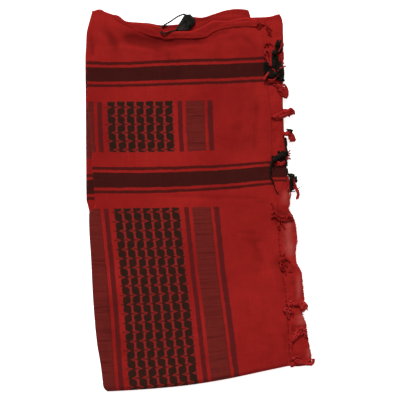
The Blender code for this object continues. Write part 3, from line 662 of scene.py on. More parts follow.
def clothMaterial(name):
    material, tree, shader = newMaterial(name, 0.95, 0.04)
    shader.inputs["Sheen Weight"].default_value = 0.02
    shader.inputs["Sheen Roughness"].default_value = 0.6
    shader.inputs["Sheen Tint"].default_value = (0.9, 0.35, 0.3, 1.0)
    uv = tree.nodes.new("ShaderNodeUVMap")
    uv.uv_map = "cloth"
    check = tree.nodes.new("ShaderNodeGroup")
    check.node_tree = checkGroup
    weave = tree.nodes.new("ShaderNodeGroup")
    weave.node_tree = weaveGroup
    tree.links.new(uv.outputs["UV"], check.inputs["Cloth"])
    tree.links.new(uv.outputs["UV"], weave.inputs["Cloth"])

    def over(mask, strength, below, dye):
        return mixColor(tree, maths(tree, "MULTIPLY", check.outputs[mask], strength), below, dye)

    ground = mixColor(tree, softStep(tree, weave.outputs["Dye"], 0.32, 0.68), dyes["redDeep"], dyes["red"])
    # painted light: the colour turns pale where light comes through the cloth
    ground = mixColor(tree, attributeOf(tree, "paintedThroughLight"), ground, dyes["pale"])
    rows = mixColor(tree, check.outputs["Striae"], dyes["rib"], dyes["ribRow"])
    color = over("Ribs", 0.9, ground, rows)
    color = over("Strips", 0.9, color, dyes["strip"])
    core = mixColor(tree, check.outputs["Core"], dyes["checkEdge"], dyes["checkCore"])
    color = over("Check", 0.97, color, core)
    color = over("Lines", 0.6, color, dyes["redLine"])
    color = over("Bands", 0.97, color, dyes["band"])
    # single yarns that took the dye unevenly, and painted shade in the hollows and creases
    streaks = softStep(tree, weave.outputs["Slub"], 0.30, 0.70)
    shade = maths(tree, "MULTIPLY_ADD", attributeOf(tree, "paintedShade"), -0.42, 1.0)
    tone = maths(tree, "MULTIPLY_ADD", streaks, 0.20, 0.90)
    value = maths(tree, "MULTIPLY", tone, shade)
    finishSurface(tree, shader, color, value, weave.outputs["Height"], 0.45, 0.0003)
    return material


redCotton = clothMaterial("redCheckedCotton")


def innerMaterial(name):
    # the layers that only show as edges: plain red cotton, with painted light and shade in bands down the
    # fold, lighter where the leaves' bump is high and darker between them
    material, tree, shader = newMaterial(name, 0.95, 0.04)
    place = tree.nodes.new("ShaderNodeTexCoord").outputs["Object"]
    patches = noiseOf(tree, place, 14.0, 4.0, 0.55)
    leaves = noiseOf(tree, vectorMaths(tree, "MULTIPLY", place, (1.0, 1.0, 26.0)), 60.0, 3.0, 0.6)
    tone = mixColor(tree, softStep(tree, patches, 0.35, 0.65), dyes["redDeep"], dyes["inner"])
    finishSurface(tree, shader, tone, maths(tree, "MULTIPLY_ADD", leaves, 0.9, 0.5), leaves, 0.5, 0.0004)
    return material


innerCotton = innerMaterial("plainInnerCotton")


def yarnMaterial(name, color, tips):
    material, tree, shader = newMaterial(name, 0.92, 0.03)
    place = tree.nodes.new("ShaderNodeTexCoord").outputs["Object"]
    fibre = noiseOf(tree, place, 900.0, 3.0, 0.6)
    slow = noiseOf(tree, place, 90.0)
    tone = mixColor(tree, softStep(tree, slow, 0.3, 0.7), color, tips)
    finishSurface(tree, shader, tone, maths(tree, "MULTIPLY_ADD", fibre, 0.6, 0.7), fibre, 0.6, 0.0002)
    return material


redYarn = yarnMaterial("redYarn", (0.240, 0.010, 0.010), (0.340, 0.020, 0.018))
dullYarn = yarnMaterial("dullRedYarn", (0.170, 0.007, 0.006), (0.270, 0.013, 0.011))
blackYarn = yarnMaterial("blackYarn", (0.0055, 0.0062, 0.0036), (0.0150, 0.0110, 0.0085))
tasselYarn = yarnMaterial("tasselYarn", (0.0055, 0.0062, 0.0040), (0.0340, 0.0300, 0.0260))
print("materials made")


def finishCloth(piece, node, outerPlace=bakePlaces["outer"]):
    giveWall(piece, cloth["wall"], outerPlace)
    piece.data.materials.append(redCotton)
    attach(piece, "root")
    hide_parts(node)


# The face seen from above

frontCloth = {
    "name": "frontCloth",
    "step": 2.0,
    "flat": (0.293, 0.562),
    "waves": (0.45, 34.0, 0.24, 11.0),
    # degrees of turn where the cloth goes under, then places close to the left and the bottom fold
    "turns": (180.0, 90.0, 75.0, 60.0, 45.0, 30.0, 15.0),
    "nearLeft": (0.0, 0.12, 0.4, 0.85, 1.5, 2.4, 3.6),
    "nearFoot": (0.0, 0.25, 0.8, 1.7, 3.0, 4.8, 7.0, 9.5, 12.5),
    "footRun": 16.0,
    "width": 262.0,
    "firstShare": 0.021,
    "wellInside": 50.0,
    "guessX": -150.0,
    # the head corner is pulled out: X, half width, then how far along Y and X
    "headCorner": (-146.0, 7.0, 3.8, 1.6),
    "headRun": 30.0,
    # the fringed edge ripples, sways and comes down onto the second layer
    "edgeRun": 4.2,
    "edgeRipple": (0.4, 5.0),
    "edgeDrop": 2.2,
    "edgeSway": (0.5, 8.0),
    "edgeRest": 0.35,
    # below this Y the cloth is pulled wider, by this share for each millimetre
    "widerBelow": -110.0,
    "widening": 0.00036,
    # cloth that a quarter turn takes at the left fold and at the bottom fold
    "underLeft": 6.0,
    "underFoot": 9.0,
    # creases: start X Y, end X Y, bow, half width, height
    "creases": (
        (-150.0, 262.0, -112.0, 244.0, 3.0, 7.0, 0.9),
        (-141.0, 250.0, -118.0, 212.0, 3.0, 7.0, -1.1),
        (-112.0, 240.0, -54.0, 226.0, -2.0, 7.0, -1.2),
        (-60.0, 229.0, 14.0, 230.0, 0.0, 5.0, -1.1),
        (14.0, 236.0, 44.0, 244.0, 1.0, 4.0, -0.8),
        (-158.0, 244.0, -156.0, 206.0, 1.0, 4.0, -0.8),
        (-152.0, 226.0, -148.0, 120.0, 2.0, 4.0, 0.4),
        (-132.0, 222.0, -70.0, 216.0, 2.0, 5.0, 0.6),
        (-60.0, 222.0, 30.0, 217.0, 2.0, 6.0, 0.5),
        (-48.0, 216.0, -44.0, 196.0, 1.0, 4.0, -0.4),
        (30.0, 228.0, 26.0, 200.0, -2.0, 6.0, -0.4),
        (56.0, 236.0, 50.0, 198.0, 2.0, 7.0, 0.4),
        (60.0, 240.0, 88.0, 214.0, 2.0, 5.0, -0.6),
        (20.0, 238.0, 74.0, 243.0, 1.0, 4.0, 0.4),
        (-30.0, 206.0, -34.0, 170.0, 1.0, 5.0, -0.4),
        (-20.0, 180.0, 60.0, 186.0, 1.0, 6.0, 0.3),
        (24.0, 206.0, 22.0, 172.0, -1.0, 5.0, 0.35),
        (-72.0, 5.0, 104.0, 1.0, 0.8, 3.0, -0.42),
        (-40.0, -5.0, 60.0, -6.4, 0.5, 3.0, 0.3),
        (-148.0, 22.0, -40.0, 18.0, -1.0, 3.4, -0.18),
        (-60.0, 13.0, 90.0, 18.0, 1.0, 3.4, -0.18),
        (-52.0, 22.0, -44.0, 6.0, 1.0, 3.0, -0.21),
        (52.0, -48.0, 84.0, -50.0, 1.0, 3.4, -0.3),
        (72.0, -58.0, 94.0, -60.0, -1.0, 3.4, -0.3),
        (76.0, -60.0, 92.0, -96.0, 2.0, 4.0, -0.42),
        (86.0, -62.0, 100.0, -96.0, 1.5, 4.0, 0.3),
        (58.0, 138.0, 58.0, 98.0, 1.0, 5.0, -0.3),
        (84.0, 152.0, 79.0, 66.0, 1.0, 4.0, -0.5),
        (96.0, 142.0, 92.0, 72.0, -1.0, 3.4, 0.3),
        (70.0, 130.0, 67.0, 88.0, -1.0, 4.0, 0.21),
        (101.0, 118.0, 98.0, 84.0, 1.0, 3.0, -0.24),
        (106.0, 26.0, 116.0, 8.0, 2.0, 3.4, -0.48),
        (96.0, 30.0, 100.0, 4.0, 1.0, 4.0, 0.24),
        (88.0, -126.0, 98.0, -176.0, 1.0, 4.0, -0.3),
        (100.0, -104.0, 112.0, -150.0, 1.5, 4.0, 0.3),
        (108.0, -130.0, 121.0, -222.0, 1.5, 3.0, 0.42),
        (114.0, -150.0, 125.0, -230.0, 1.0, 2.6, -0.54),
        (100.0, -190.0, 106.0, -230.0, 1.0, 3.4, -0.3),
        (40.0, -190.0, 84.0, -204.0, 1.0, 6.0, 0.18),
        (84.0, -208.0, 104.0, -212.0, -1.0, 3.0, -0.24),
        (62.0, -120.0, 70.0, -180.0, 2.0, 6.0, -0.21),
        (-150.0, -40.0, -145.0, -150.0, 1.5, 4.0, 0.3),
        (-138.0, -60.0, -130.0, -200.0, 1.0, 4.0, -0.24),
        (-142.0, -160.0, -134.0, -250.0, 1.0, 4.0, -0.21),
        (-128.0, -210.0, -60.0, -226.0, -2.0, 6.0, 0.15),
        (-40.0, -60.0, 30.0, -66.0, 1.0, 5.0, 0.12),
        (-50.0, -150.0, 20.0, -158.0, -1.0, 6.0, -0.12),
        (80.0, -4.0, 108.0, -4.6, 0.0, 2.6, -0.36),
        (84.0, 30.0, 108.0, 34.0, 0.0, 3.0, 0.24),
    ),
    # spots of painted shade: X Y, half width and height, strength
    "dark": (
        (110.0, -24.0, 8.0, 14.0, 0.35), (118.0, -34.0, 5.0, 12.0, 0.5), (113.0, -90.0, 7.0, 12.0, 0.5),
        (123.0, -130.0, 6.0, 24.0, 0.25), (126.0, -190.0, 3.0, 30.0, 0.4), (76.0, 150.0, 6.0, 60.0, 0.2),
        (-50.0, 222.0, 120.0, 22.0, 0.22),
    ),
}


def spots(table, x, y):
    # soft spots of X, Y, half width, half height and strength
    total = np.zeros_like(x)
    for middleX, middleY, halfWidth, halfHeight, strength in table:
        total += strength * np.exp(-((x - middleX) / halfWidth) ** 2 - ((y - middleY) / halfHeight) ** 4)
    return total


def frontRelief(x, y):
    # creases and slow waves of the face, over its broad form
    return creaseField(frontCloth["creases"], x, y) + slowWaves(frontCloth["waves"], x, y, 1.0)


# The quarter under it, which the front's fringed edge rests on

secondCloth = {
    "name": "secondCloth",
    "from": 72.0,
    "flat": (0.068, 0.530),
    "waves": (0.75, 13.0, 0.4, 5.5),
    "rows": 236,
    "columns": 46,
    "guessWidth": 50.0,
    # hems: inset, half width and height, and where the side's and the head's begin
    "hem": (2.4, 0.9, 0.45),
    "sideHemFrom": (196.0, 212.0),
    "headHemFrom": (88.0, 98.0),
    # a fold comes down the side above the fringe: where it begins, its drop, reach and sway
    "foldFrom": (6.0, 30.0),
    "foldDrop": 2.4,
    "foldReach": 2.6,
    "foldSway": (0.5, 4.0, 16.0),
    # below it the edge is loose: how far in, its ripple and its sway
    "looseRun": 5.0,
    "looseRipple": (0.9, 6.0),
    "looseSway": (1.4, 5.0),
    "lowest": 1.0,
    # Y, cloth distance from the bottom fold
    "bands": ((-246.0, 14.0), (12.0, 268.0), (41.3, 304.5), (177.0, 453.0), (271.0, 550.0)),
    "bakePlace": (0.0, 0.0, 0.2, 1.0),
    "creases": (
        (104.0, -14.0, 136.0, -30.0, 2.0, 3.0, -0.6),
        (118.0, -30.0, 128.0, -76.0, 1.0, 3.0, -0.6),
        (126.0, -34.0, 134.0, -78.0, 1.0, 4.0, 0.5),
        (120.0, -84.0, 142.0, -112.0, 3.0, 3.0, -0.7),
        (126.0, -80.0, 150.0, -104.0, -2.0, 3.0, 0.5),
        (132.0, -110.0, 141.0, -148.0, 1.0, 2.6, -0.6),
        (128.0, -152.0, 152.0, -156.0, 0.0, 2.4, -0.6),
        (140.0, -160.0, 144.0, -186.0, 1.0, 3.0, 0.5),
        (134.0, -180.0, 137.0, -212.0, 1.0, 2.4, -0.7),
        (146.0, -182.0, 152.0, -204.0, 1.0, 2.2, -0.5),
        (128.0, -226.0, 156.0, -234.0, 1.0, 2.4, -0.5),
        (102.0, 118.0, 112.0, 76.0, 1.0, 3.0, -0.4),
        (110.0, 150.0, 116.0, 96.0, 1.0, 2.4, 0.4),
        (94.0, 262.0, 112.0, 262.4, 1.0, 2.0, -0.3),
        (100.0, 250.0, 104.0, 226.0, 1.0, 3.0, -0.4),
    ),
    # painted shade in the darker spots, painted light in the paler spots where light comes through: X Y,
    # half width and height, strength
    "dark": (
        (118.7, -23.7, 14.6, 8.8, 0.55), (118.7, -90.8, 10.2, 13.0, 0.6), (146.4, -153.6, 14.6, 6.0, 0.55),
        (142.1, -193.0, 7.3, 13.0, 0.45), (152.3, -190.0, 5.8, 9.0, 0.45), (137.7, -235.4, 4.4, 4.4, 0.5),
        (130.4, -235.4, 2.2, 6.0, 0.6), (131.0, -132.0, 5.0, 9.0, 0.35), (126.0, -60.0, 3.6, 10.0, 0.3),
    ),
    "pale": (
        (131.5, -30.0, 3.6, 9.0, 0.40), (129.5, -56.0, 5.6, 24.0, 0.60), (134.0, -72.0, 5.0, 10.0, 0.45),
        (145.0, -128.0, 3.4, 18.0, 0.60), (149.0, -175.0, 6.5, 9.0, 0.60), (160.0, -224.0, 3.4, 7.5, 0.60),
        (134.0, -22.0, 3.0, 8.0, 0.40), (125.0, 4.0, 5.5, 10.0, 0.50),
    ),
}


def secondRelief(x, y):
    beyond = x - column(frontSides, 2, y)
    relief = creaseField(secondCloth["creases"], x, y) * blend(-4.0, 1.0, beyond)
    return relief + blend(-4.0, 8.0, beyond) * slowWaves(secondCloth["waves"], x, y, 5.0)


def frontPoints(turnX, insetX, across, turnY, insetY):
    # the face with its two folds turned under, and a round corner between them
    radius, footRun = cloth["cornerRadius"], frontCloth["footRun"]
    inCorner = (insetX < radius) & (insetY < radius)
    u = np.clip(1.0 - insetX / radius, 0.0, 1.0)
    v = np.clip(1.0 - insetY / radius, 0.0, 1.0)
    nearX = np.where(inCorner, radius * (1.0 - u * np.sqrt(1.0 - 0.5 * v * v)), insetX)
    nearY = np.where(inCorner, radius * (1.0 - v * np.sqrt(1.0 - 0.5 * u * u)), insetY)
    clothY = np.where(insetY < footRun, nearY, insetY)
    free = np.isnan(across)
    x = nearX + frontCloth["guessX"]
    for _ in range(4):
        y = guideY(x, clothY)
        left = column(frontSides, 1, y)
        right = column(frontSides, 2, y)
        x = np.where(free, left + nearX, left + np.nan_to_num(across) * (right - left))
    crown = frontCrown(x, y)
    height = crown - cloth["lobeSplit"] * blend(*cloth["lobeFrom"], clothY)

    def rise(inset, reach):
        return np.sqrt(1.0 - (1.0 - np.clip(inset / reach, 0.0, 1.0)) ** 2)

    up = rise(insetX, cloth["foldReach"]) * rise(insetY, cloth["footReach"])
    turn = np.maximum(turnX, turnY)
    under = np.radians(np.minimum(turn, 90.0))
    tail = cloth["foldReturn"] * np.maximum(0.0, turn - 90.0) / 90.0
    turned = crown - 0.5 * height * (1.0 + np.sin(under))
    z = np.where(turn > 0.0, turned, crown - 0.5 * height * (1.0 - up))
    mitreX = np.where(turnX > 0.0, 1.0, np.maximum(0.0, 1.0 - insetX / cloth["mitre"]))
    mitreY = np.where(turnY > 0.0, 1.0, np.maximum(0.0, 1.0 - insetY / cloth["mitre"]))
    x = x + mitreX * (cloth["foldReach"] * (1.0 - np.cos(under)) + tail)
    y = y + mitreY * (cloth["footReach"] * (1.0 - np.cos(under)) + tail)
    return x, y, z, up, turn


def makeFrontCloth():
    table = frontCloth
    turns, nearLeft, nearFoot = (list(table[key]) for key in ("turns", "nearLeft", "nearFoot"))
    first, footRun = table["firstShare"], table["footRun"]
    run = cloth["length"] - footRun
    acrossCount = int(table["width"] / table["step"])
    alongCount = int(run / table["step"])
    acrossShares = first + (1.0 - first) * np.arange(acrossCount) / (acrossCount - 1)
    alongPlaces = footRun + run * np.arange(alongCount) / (alongCount - 1)
    atFold = [0.0] * len(turns)
    turnX = np.array(turns + [0.0] * (len(nearLeft) + acrossCount))
    insetX = np.array(atFold + nearLeft + [table["wellInside"]] * acrossCount)
    across = np.array([np.nan] * (len(turns) + len(nearLeft)) + list(acrossShares))
    turnY = np.array(turns + [0.0] * (len(nearFoot) + alongCount))
    insetY = np.array(atFold + nearFoot + list(alongPlaces))
    piece, i, j = gridObject(table["name"], len(turnX), len(turnY))
    tx, ty = turnX[i], turnY[j]
    inBoth = (tx > 0.0) & (ty > 0.0)
    most = np.maximum(tx, ty)
    tx, ty = np.where(inBoth, most, tx), np.where(inBoth, most, ty)
    x, y, z, up, turn = frontPoints(tx, insetX[i], across[i], ty, insetY[j])
    onFace = blend(0.2, 1.0, up) * (turn == 0.0)
    relief = frontRelief(x, y)
    z += onFace * relief
    cornerX, halfWidth, outY, outX = table["headCorner"]
    nearHead = blend(cloth["length"] - table["headRun"], cloth["length"], insetY[j])
    corner = ridge(x, cornerX, halfWidth) * nearHead
    y += outY * corner
    x += outX * corner
    nearFringe = np.exp(-np.maximum(0.0, column(frontSides, 2, y) - x) / table["edgeRun"])
    height, size = table["edgeRipple"]
    lowered = z + nearFringe * (height * edgeWave(y, size, 3.0) - table["edgeDrop"])
    resting = secondTop(x, y) + secondRelief(x, y) + table["edgeRest"]
    z = np.where(nearFringe > 0.02, np.maximum(lowered, np.minimum(z, resting)), z)
    reach, size = table["edgeSway"]
    x += reach * nearFringe * edgeWave(y, size, 4.0)
    setPoints(piece, np.column_stack((x, y, np.maximum(z, 0.0))))
    aside = x - column(checkLine, 1, y)
    wider = 1.0 - table["widening"] * np.maximum(0.0, table["widerBelow"] - y)
    s = weaving["check"][1] - aside * np.where(aside > 0.0, wider, 1.0)
    s = np.where(turn > 0.0, s + (turn / 90.0) * table["underLeft"], s)
    t = np.where(ty > 0.0, -(turn / 90.0) * table["underFoot"], insetY[j])
    writeMap(piece, "cloth", s * mm, t * mm)
    writeMap(piece, "OFBake", i / (len(turnX) - 1.0), j / (len(turnY) - 1.0))
    # painted shade: the colour is darkened in creases, fold troughs and the listed spots
    folds = foldField(broadFolds, x, y, 1.0, True)
    shade = onFace * (-cloth["creaseShade"] * relief - cloth["foldShade"] * folds - cloth["shadeFrom"])
    writeShade(piece, "paintedShade", shade + spots(table["dark"], x, y))
    mergeDoubles(piece)
    finishCloth(piece, "front_panel")


makeFrontCloth()
print("front cloth laid")


def surfaceUnder(x, y):
    # height of the cloth that a thread lies on, for arrays of places
    fringe = column(frontSides, 2, y)
    front = np.minimum(x, fringe - 0.5)
    onFront = frontCrown(front, y) + frontRelief(front, y)
    edge = column(secondEdge, 1, y)
    second = np.minimum(x, edge - 1.0)
    beyond = np.maximum(0.0, x - edge)
    onSecond = secondTop(second, y) + secondRelief(second, y) - 0.06 * beyond ** 1.4
    height = np.where(x < fringe + 0.4, onFront, np.maximum(onSecond, 1.6))
    low = column(turnedMargin, 1, x)
    high = column(turnedMargin, 2, x)
    inMargin = (x > turnedMargin[0][0]) & (x < turnedMargin[-1][0])
    height = np.where(inMargin & (y > low) & (y <= high), onFront + marginCloth["lift"], height)
    return np.where(inMargin & (y > high), thirdTop(x, y) + 0.6, height)


def makeSecondCloth():
    table = secondCloth
    piece, i, j = gridObject(table["name"], table["columns"], table["rows"])
    share = i / (table["columns"] - 1.0)
    along = j / (table["rows"] - 1.0)
    start = table["from"]
    x = start + share * table["guessWidth"]
    for _ in range(6):
        foot = column(secondEnds, 1, x)
        head = column(secondEnds, 2, x)
        y = foot + along * (head - foot)
        x = start + share * (column(secondEdge, 1, y) - start)
    edge = column(secondEdge, 1, y)
    inside = edge - x
    relief = secondRelief(x, y)
    z = secondTop(x, y) + relief
    inset, halfWidth, height = table["hem"]
    hem = blend(*table["sideHemFrom"], y) * ridge(inside, inset, halfWidth)
    hem += blend(*table["headHemFrom"], x) * ridge(column(secondEnds, 2, x) - y, inset, halfWidth)
    z += height * hem
    folded = blend(*table["foldFrom"], y)
    bend = 1.0 - np.clip(inside / table["foldReach"], 0.0, 1.0)
    z -= folded * table["foldDrop"] * (1.0 - np.sqrt(1.0 - bend ** 2))
    loose = (1.0 - folded) * np.exp(-inside / table["looseRun"])
    height, size = table["looseRipple"]
    z += height * loose * edgeWave(y, size, 7.0)
    reach, size = table["looseSway"]
    x += reach * loose * edgeWave(y, size, 8.0)
    reach, run, size = table["foldSway"]
    x += folded * np.exp(-inside / run) * reach * edgeWave(y, size, 9.0)
    setPoints(piece, np.column_stack((x, y, np.maximum(z, table["lowest"]))))
    places, distances = zip(*table["bands"])
    writeMap(piece, "cloth", (edge - x) * mm, np.interp(y, places, distances) * mm)
    writeMap(piece, "OFBake", share, along)
    # painted light where light comes through the cloth, and painted shade in creases and the listed spots
    writeShade(piece, "paintedThroughLight", spots(table["pale"], x, y))
    shade = -cloth["creaseShade"] * relief - cloth["shadeFrom"]
    writeShade(piece, "paintedShade", shade + spots(table["dark"], x, y))
    finishCloth(piece, "second_panel", table["bakePlace"])


makeSecondCloth()
print("second cloth laid")


# Its head, turned over the front

marginCloth = {
    "name": "turnedMargin",
    "reach": 2.6,
    "tail": 4.5,
    "lift": 1.95,
    "flat": (0.184, 0.026),
    "waves": (0.5, 12.0, 0.25, 5.0),
    "columns": 150,
    "leafRows": 16,
    "leafEnd": 0.92,
    "turnRows": 11,
    # it lies close at its left end, and lower again at the right: X from and to
    "closeLift": 0.15,
    "liftFrom": (-100.0, -58.0),
    "halvedFrom": (-4.0, 30.0),
    "crestRise": 0.3,
    "crestInset": 6.0,
    "edgeWave": (0.4, 9.0),
    "edgeDrop": 0.5,
    # the selvage is a cord of three yarns: inset, half width, height
    "selvage": (1.6, 0.9, 0.35),
    "shade": (0.4, 0.12),
    "mapFrom": 110.0,
    "bakePlace": (0.0, 0.0, 0.56, 0.3),
    "creases": (
        (-90.0, 253.0, -52.0, 240.0, 1.0, 2.6, 0.42),
        (-66.0, 246.0, -44.0, 238.0, 0.5, 2.0, -0.3),
        (-44.0, 241.0, 10.0, 240.0, 0.6, 2.4, 0.36),
        (8.0, 242.0, 30.0, 256.0, 0.8, 2.6, -0.42),
        (24.0, 254.0, 78.0, 258.0, 1.0, 2.6, 0.42),
        (34.0, 258.0, 76.0, 262.0, 0.6, 2.0, -0.3),
    ),
}


def makeMarginCloth():
    table = marginCloth
    leaf = list(np.linspace(0.0, table["leafEnd"], table["leafRows"]))
    turnAngles = list(np.linspace(90.0, -90.0, table["turnRows"]))
    rowsCount = len(leaf) + len(turnAngles) + 2
    piece, i, j = gridObject(table["name"], table["columns"], rowsCount)
    first, last = turnedMargin[0][0], turnedMargin[-1][0]
    x = first + (last - first) * i / (table["columns"] - 1.0)
    low = column(turnedMargin, 1, x)
    high = column(turnedMargin, 2, x)
    close = table["closeLift"]
    lifted = (table["lift"] - close) * blend(*table["liftFrom"], x)
    over = close + lifted * (1.0 - 0.5 * blend(*table["halvedFrom"], x))
    lip = frontCrown(x, low) + frontRelief(x, low - 2.0) + over
    crown = frontCrown(x, high - table["crestInset"])
    crest = np.maximum(lip, crown + over) + table["crestRise"]
    under = crown - 2.0 * cloth["solidWall"] - cloth["layerGap"]
    flatEnd = high - table["reach"]
    leafShare = np.array(leaf + [1.0] * (len(turnAngles) + 2))[j]
    angle = np.radians(np.array([90.0] * len(leaf) + turnAngles + [-90.0, -90.0])[j])
    tail = np.array([0.0] * (len(leaf) + len(turnAngles)) + [0.5, 1.0])[j]
    inLeaf = j < len(leaf)
    turnedY = flatEnd + table["reach"] * np.cos(angle) - tail * table["tail"]
    turnedZ = 0.5 * (crest + under) + 0.5 * (crest - under) * np.sin(angle)
    y = np.where(inLeaf, low + leafShare * (flatEnd - low), turnedY)
    z = np.where(inLeaf, lip + (crest - lip) * leafShare, turnedZ)
    relief = creaseField(table["creases"], x, y)
    relief += slowWaves(table["waves"], x, y, 11.0)
    z += inLeaf * relief
    height, size = table["edgeWave"]
    wave = height * roughField(x, np.zeros_like(x), size, 10.0) - table["edgeDrop"]
    z += inLeaf * np.exp(-leafShare * 4.0) * wave
    inset, halfWidth, height = table["selvage"]
    z += inLeaf * height * ridge(y - low, inset, halfWidth)
    setPoints(piece, np.column_stack((x, y, z)))
    writeMap(piece, "cloth", (table["mapFrom"] - x) * mm, (cloth["length"] - (y - low)) * mm)
    writeMap(piece, "OFBake", i / (table["columns"] - 1.0), j / (rowsCount - 1.0))
    # painted shade: the leaf's colour is darkened where its creases dip
    ofCrease, shadeFrom = table["shade"]
    writeShade(piece, "paintedShade", inLeaf * (-ofCrease * relief - shadeFrom))
    finishCloth(piece, "turned_margin", table["bakePlace"])


makeMarginCloth()


thirdCloth = {
    "name": "thirdCloth",
    "foot": 238.0,
    "flat": (0.220, 0.030),
    "waves": (0.5, 12.0, 0.25, 5.0),
    "columns": 160,
    "rows": 24,
    "selvage": (1.6, 0.9, 0.3),
    "lowest": 2.0,
    "shade": (0.8, 0.05),
    "mapFrom": 110.0,
    "bakePlace": (0.0, 0.0, 0.56, 0.3),
    "creases": (
        (-140.0, 270.0, -96.0, 252.0, 2.0, 3.0, 0.6),
        (-104.0, 258.0, -62.0, 250.0, 1.0, 2.6, -0.6),
        (-62.0, 250.0, -30.0, 252.0, 1.0, 2.4, -0.5),
        (-8.0, 258.0, 20.0, 264.0, 2.0, 3.0, -0.6),
        (10.0, 262.0, 60.0, 268.0, 2.0, 3.0, 0.5),
        (30.0, 268.0, 66.0, 272.0, 1.0, 2.4, -0.5),
        (44.0, 262.0, 48.0, 276.0, 0.5, 3.0, 0.4),
    ),
}


def makeThirdCloth():
    table = thirdCloth
    piece, i, j = gridObject(table["name"], table["columns"], table["rows"])
    first, last = thirdHead[0][0], thirdHead[-1][0]
    x = first + (last - first) * i / (table["columns"] - 1.0)
    share = j / (table["rows"] - 1.0)
    head = column(thirdHead, 1, x)
    y = table["foot"] + share * (head - table["foot"])
    relief = creaseField(table["creases"], x, y)
    relief += slowWaves(table["waves"], x, y, 13.0)
    inset, halfWidth, height = table["selvage"]
    z = thirdTop(x, y) + relief
    z += height * ridge(head - y, inset, halfWidth)
    setPoints(piece, np.column_stack((x, y, np.maximum(z, table["lowest"]))))
    writeMap(piece, "cloth", (table["mapFrom"] - x) * mm, (cloth["length"] - (head - y)) * mm)
    writeMap(piece, "OFBake", i / (table["columns"] - 1.0), share)
    # painted shade: the colour is darkened where the creases dip
    ofCrease, shadeFrom = table["shade"]
    writeShade(piece, "paintedShade", -ofCrease * relief - shadeFrom)
    finishCloth(piece, "third_panel", table["bakePlace"])


makeThirdCloth()
print("head of the stack laid")


# The half on the floor, with its left fold

backCloth = {
    "name": "backCloth",
    "lobeTop": 5.5,
    "reach": 3.4,
    "leaf": 30.0,
    "head": 266.0,
    "leafHead": 234.0,
    "flat": (0.315, 0.540),
    "step": 2.8,
    "floorWidth": 290.0,
    "floorEnd": 0.985,
    "rows": 200,
    "turnRows": 15,
    "leafRows": 11,
    "leafFrom": 2.0,
    "footGap": 3.0,
    "headGap": 4.0,
    # height and size of the waves on its folded leaf, and how far the leaf settles
    "leafWaves": (0.3, 11.0, 0.15),
    # its place on the woven cloth: width on the floor, length round the fold, starts of leaf and foot
    "woven": (275.0, 5.0, 3.0, 286.0),
    "creases": (
        (-160.0, 120.0, -158.0, 40.0, 0.6, 2.0, -0.3),
        (-158.0, 40.0, -156.0, -10.0, -0.6, 2.0, 0.3),
    ),
}


def makeBackCloth():
    # kinds of columns: 0 on the floor, 1 round the left fold, 2 the leaf that comes back over it
    table = backCloth
    floorCount = int(table["floorWidth"] / table["step"])
    angles = np.linspace(-90.0, 90.0, table["turnRows"])
    leafInsets = np.linspace(table["leafFrom"], table["leaf"], table["leafRows"])
    kinds = np.array([0] * floorCount + [1] * len(angles) + [2] * len(leafInsets))
    values = np.concatenate((np.linspace(0.0, table["floorEnd"], floorCount), angles, leafInsets))
    piece, i, j = gridObject(table["name"], len(kinds), table["rows"])
    kind, value = kinds[i], values[i]
    along = j / (table["rows"] - 1.0)
    turned = np.where(kind == 0, 0.0, np.where(kind == 1, (value + 90.0) / 180.0, 1.0))
    angle = np.where(kind == 1, value, 0.0)
    reach = table["reach"]
    x = np.zeros(len(i))
    for _ in range(5):
        foot = guideY(x, np.zeros_like(x)) + cloth["footReach"] + cloth["foldReturn"] + table["footGap"]
        head = guideY(x, np.full_like(x, cloth["length"])) + table["headGap"]
        head = np.minimum(table["head"], head) + (table["leafHead"] - table["head"]) * turned
        y = foot + along * (head - foot)
        left = column(backSides, 1, y)
        right = column(backSides, 2, y)
        roundFold = left + reach * (1.0 - np.cos(np.radians(angle)))
        x = np.where(kind == 1, roundFold, left + reach + value)
        x = np.where(kind == 0, right + value * (left + reach - right), x)
    height, size, settle = table["leafWaves"]
    relief = creaseField(table["creases"], x, y) + height * roughField(x, y, size, 15.0) - settle
    z = table["lobeTop"] * 0.5 * (1.0 - np.cos(math.pi * turned))
    z += (kind == 2) * relief
    setPoints(piece, np.column_stack((x, y, z)))
    width, roundLength, leafStart, start = table["woven"]
    past = np.where(kind == 1, roundLength * (turned - 0.5), leafStart + value)
    s = np.where(kind == 0, width * value, width + past)
    writeMap(piece, "cloth", s * mm, (y + start) * mm)
    writeMap(piece, "OFBake", i / (len(kinds) - 1.0), along)
    finishCloth(piece, "back_panel")


makeBackCloth()
print("back cloth laid")


# The quarters that never show, seen only as the edges of their layers

innerLayers = {
    "segments": 256,
    "rings": 72,
    "floor": 1.55,
    "underTop": 1.9,
    "corner": 0.10,
    "leaves": 5,
    "leafDepth": 2.2,
    # the plan's first guess: half width, middle X and half length, and the limits of its head
    "guess": (130.0, -20.0, 250.0),
    "head": 262.0,
    "headGap": 8.0,
    "squareness": 9,
    # edges wander in and out: reach, lean, and turns of the wave round the stack and up it
    "wander": (1.4, 0.4, 3.0, 6.0),
    # height share, inset at the left, right, head and foot
    "insets": (
        (0.00, 8.0, 5.0, 26.0, 14.0), (0.10, 7.0, 3.6, 24.6, 13.2), (0.15, 8.6, 6.0, 27.0, 14.6),
        (0.20, 7.0, 3.6, 24.6, 13.2), (0.28, 8.0, 4.4, 25.4, 13.4), (0.34, 36.0, 12.0, 38.0, 17.0),
        (0.74, 36.0, 12.0, 38.0, 17.0), (0.79, 16.0, 5.6, 36.4, 13.4), (1.00, 16.0, 6.6, 38.0, 14.0),
    ),
}


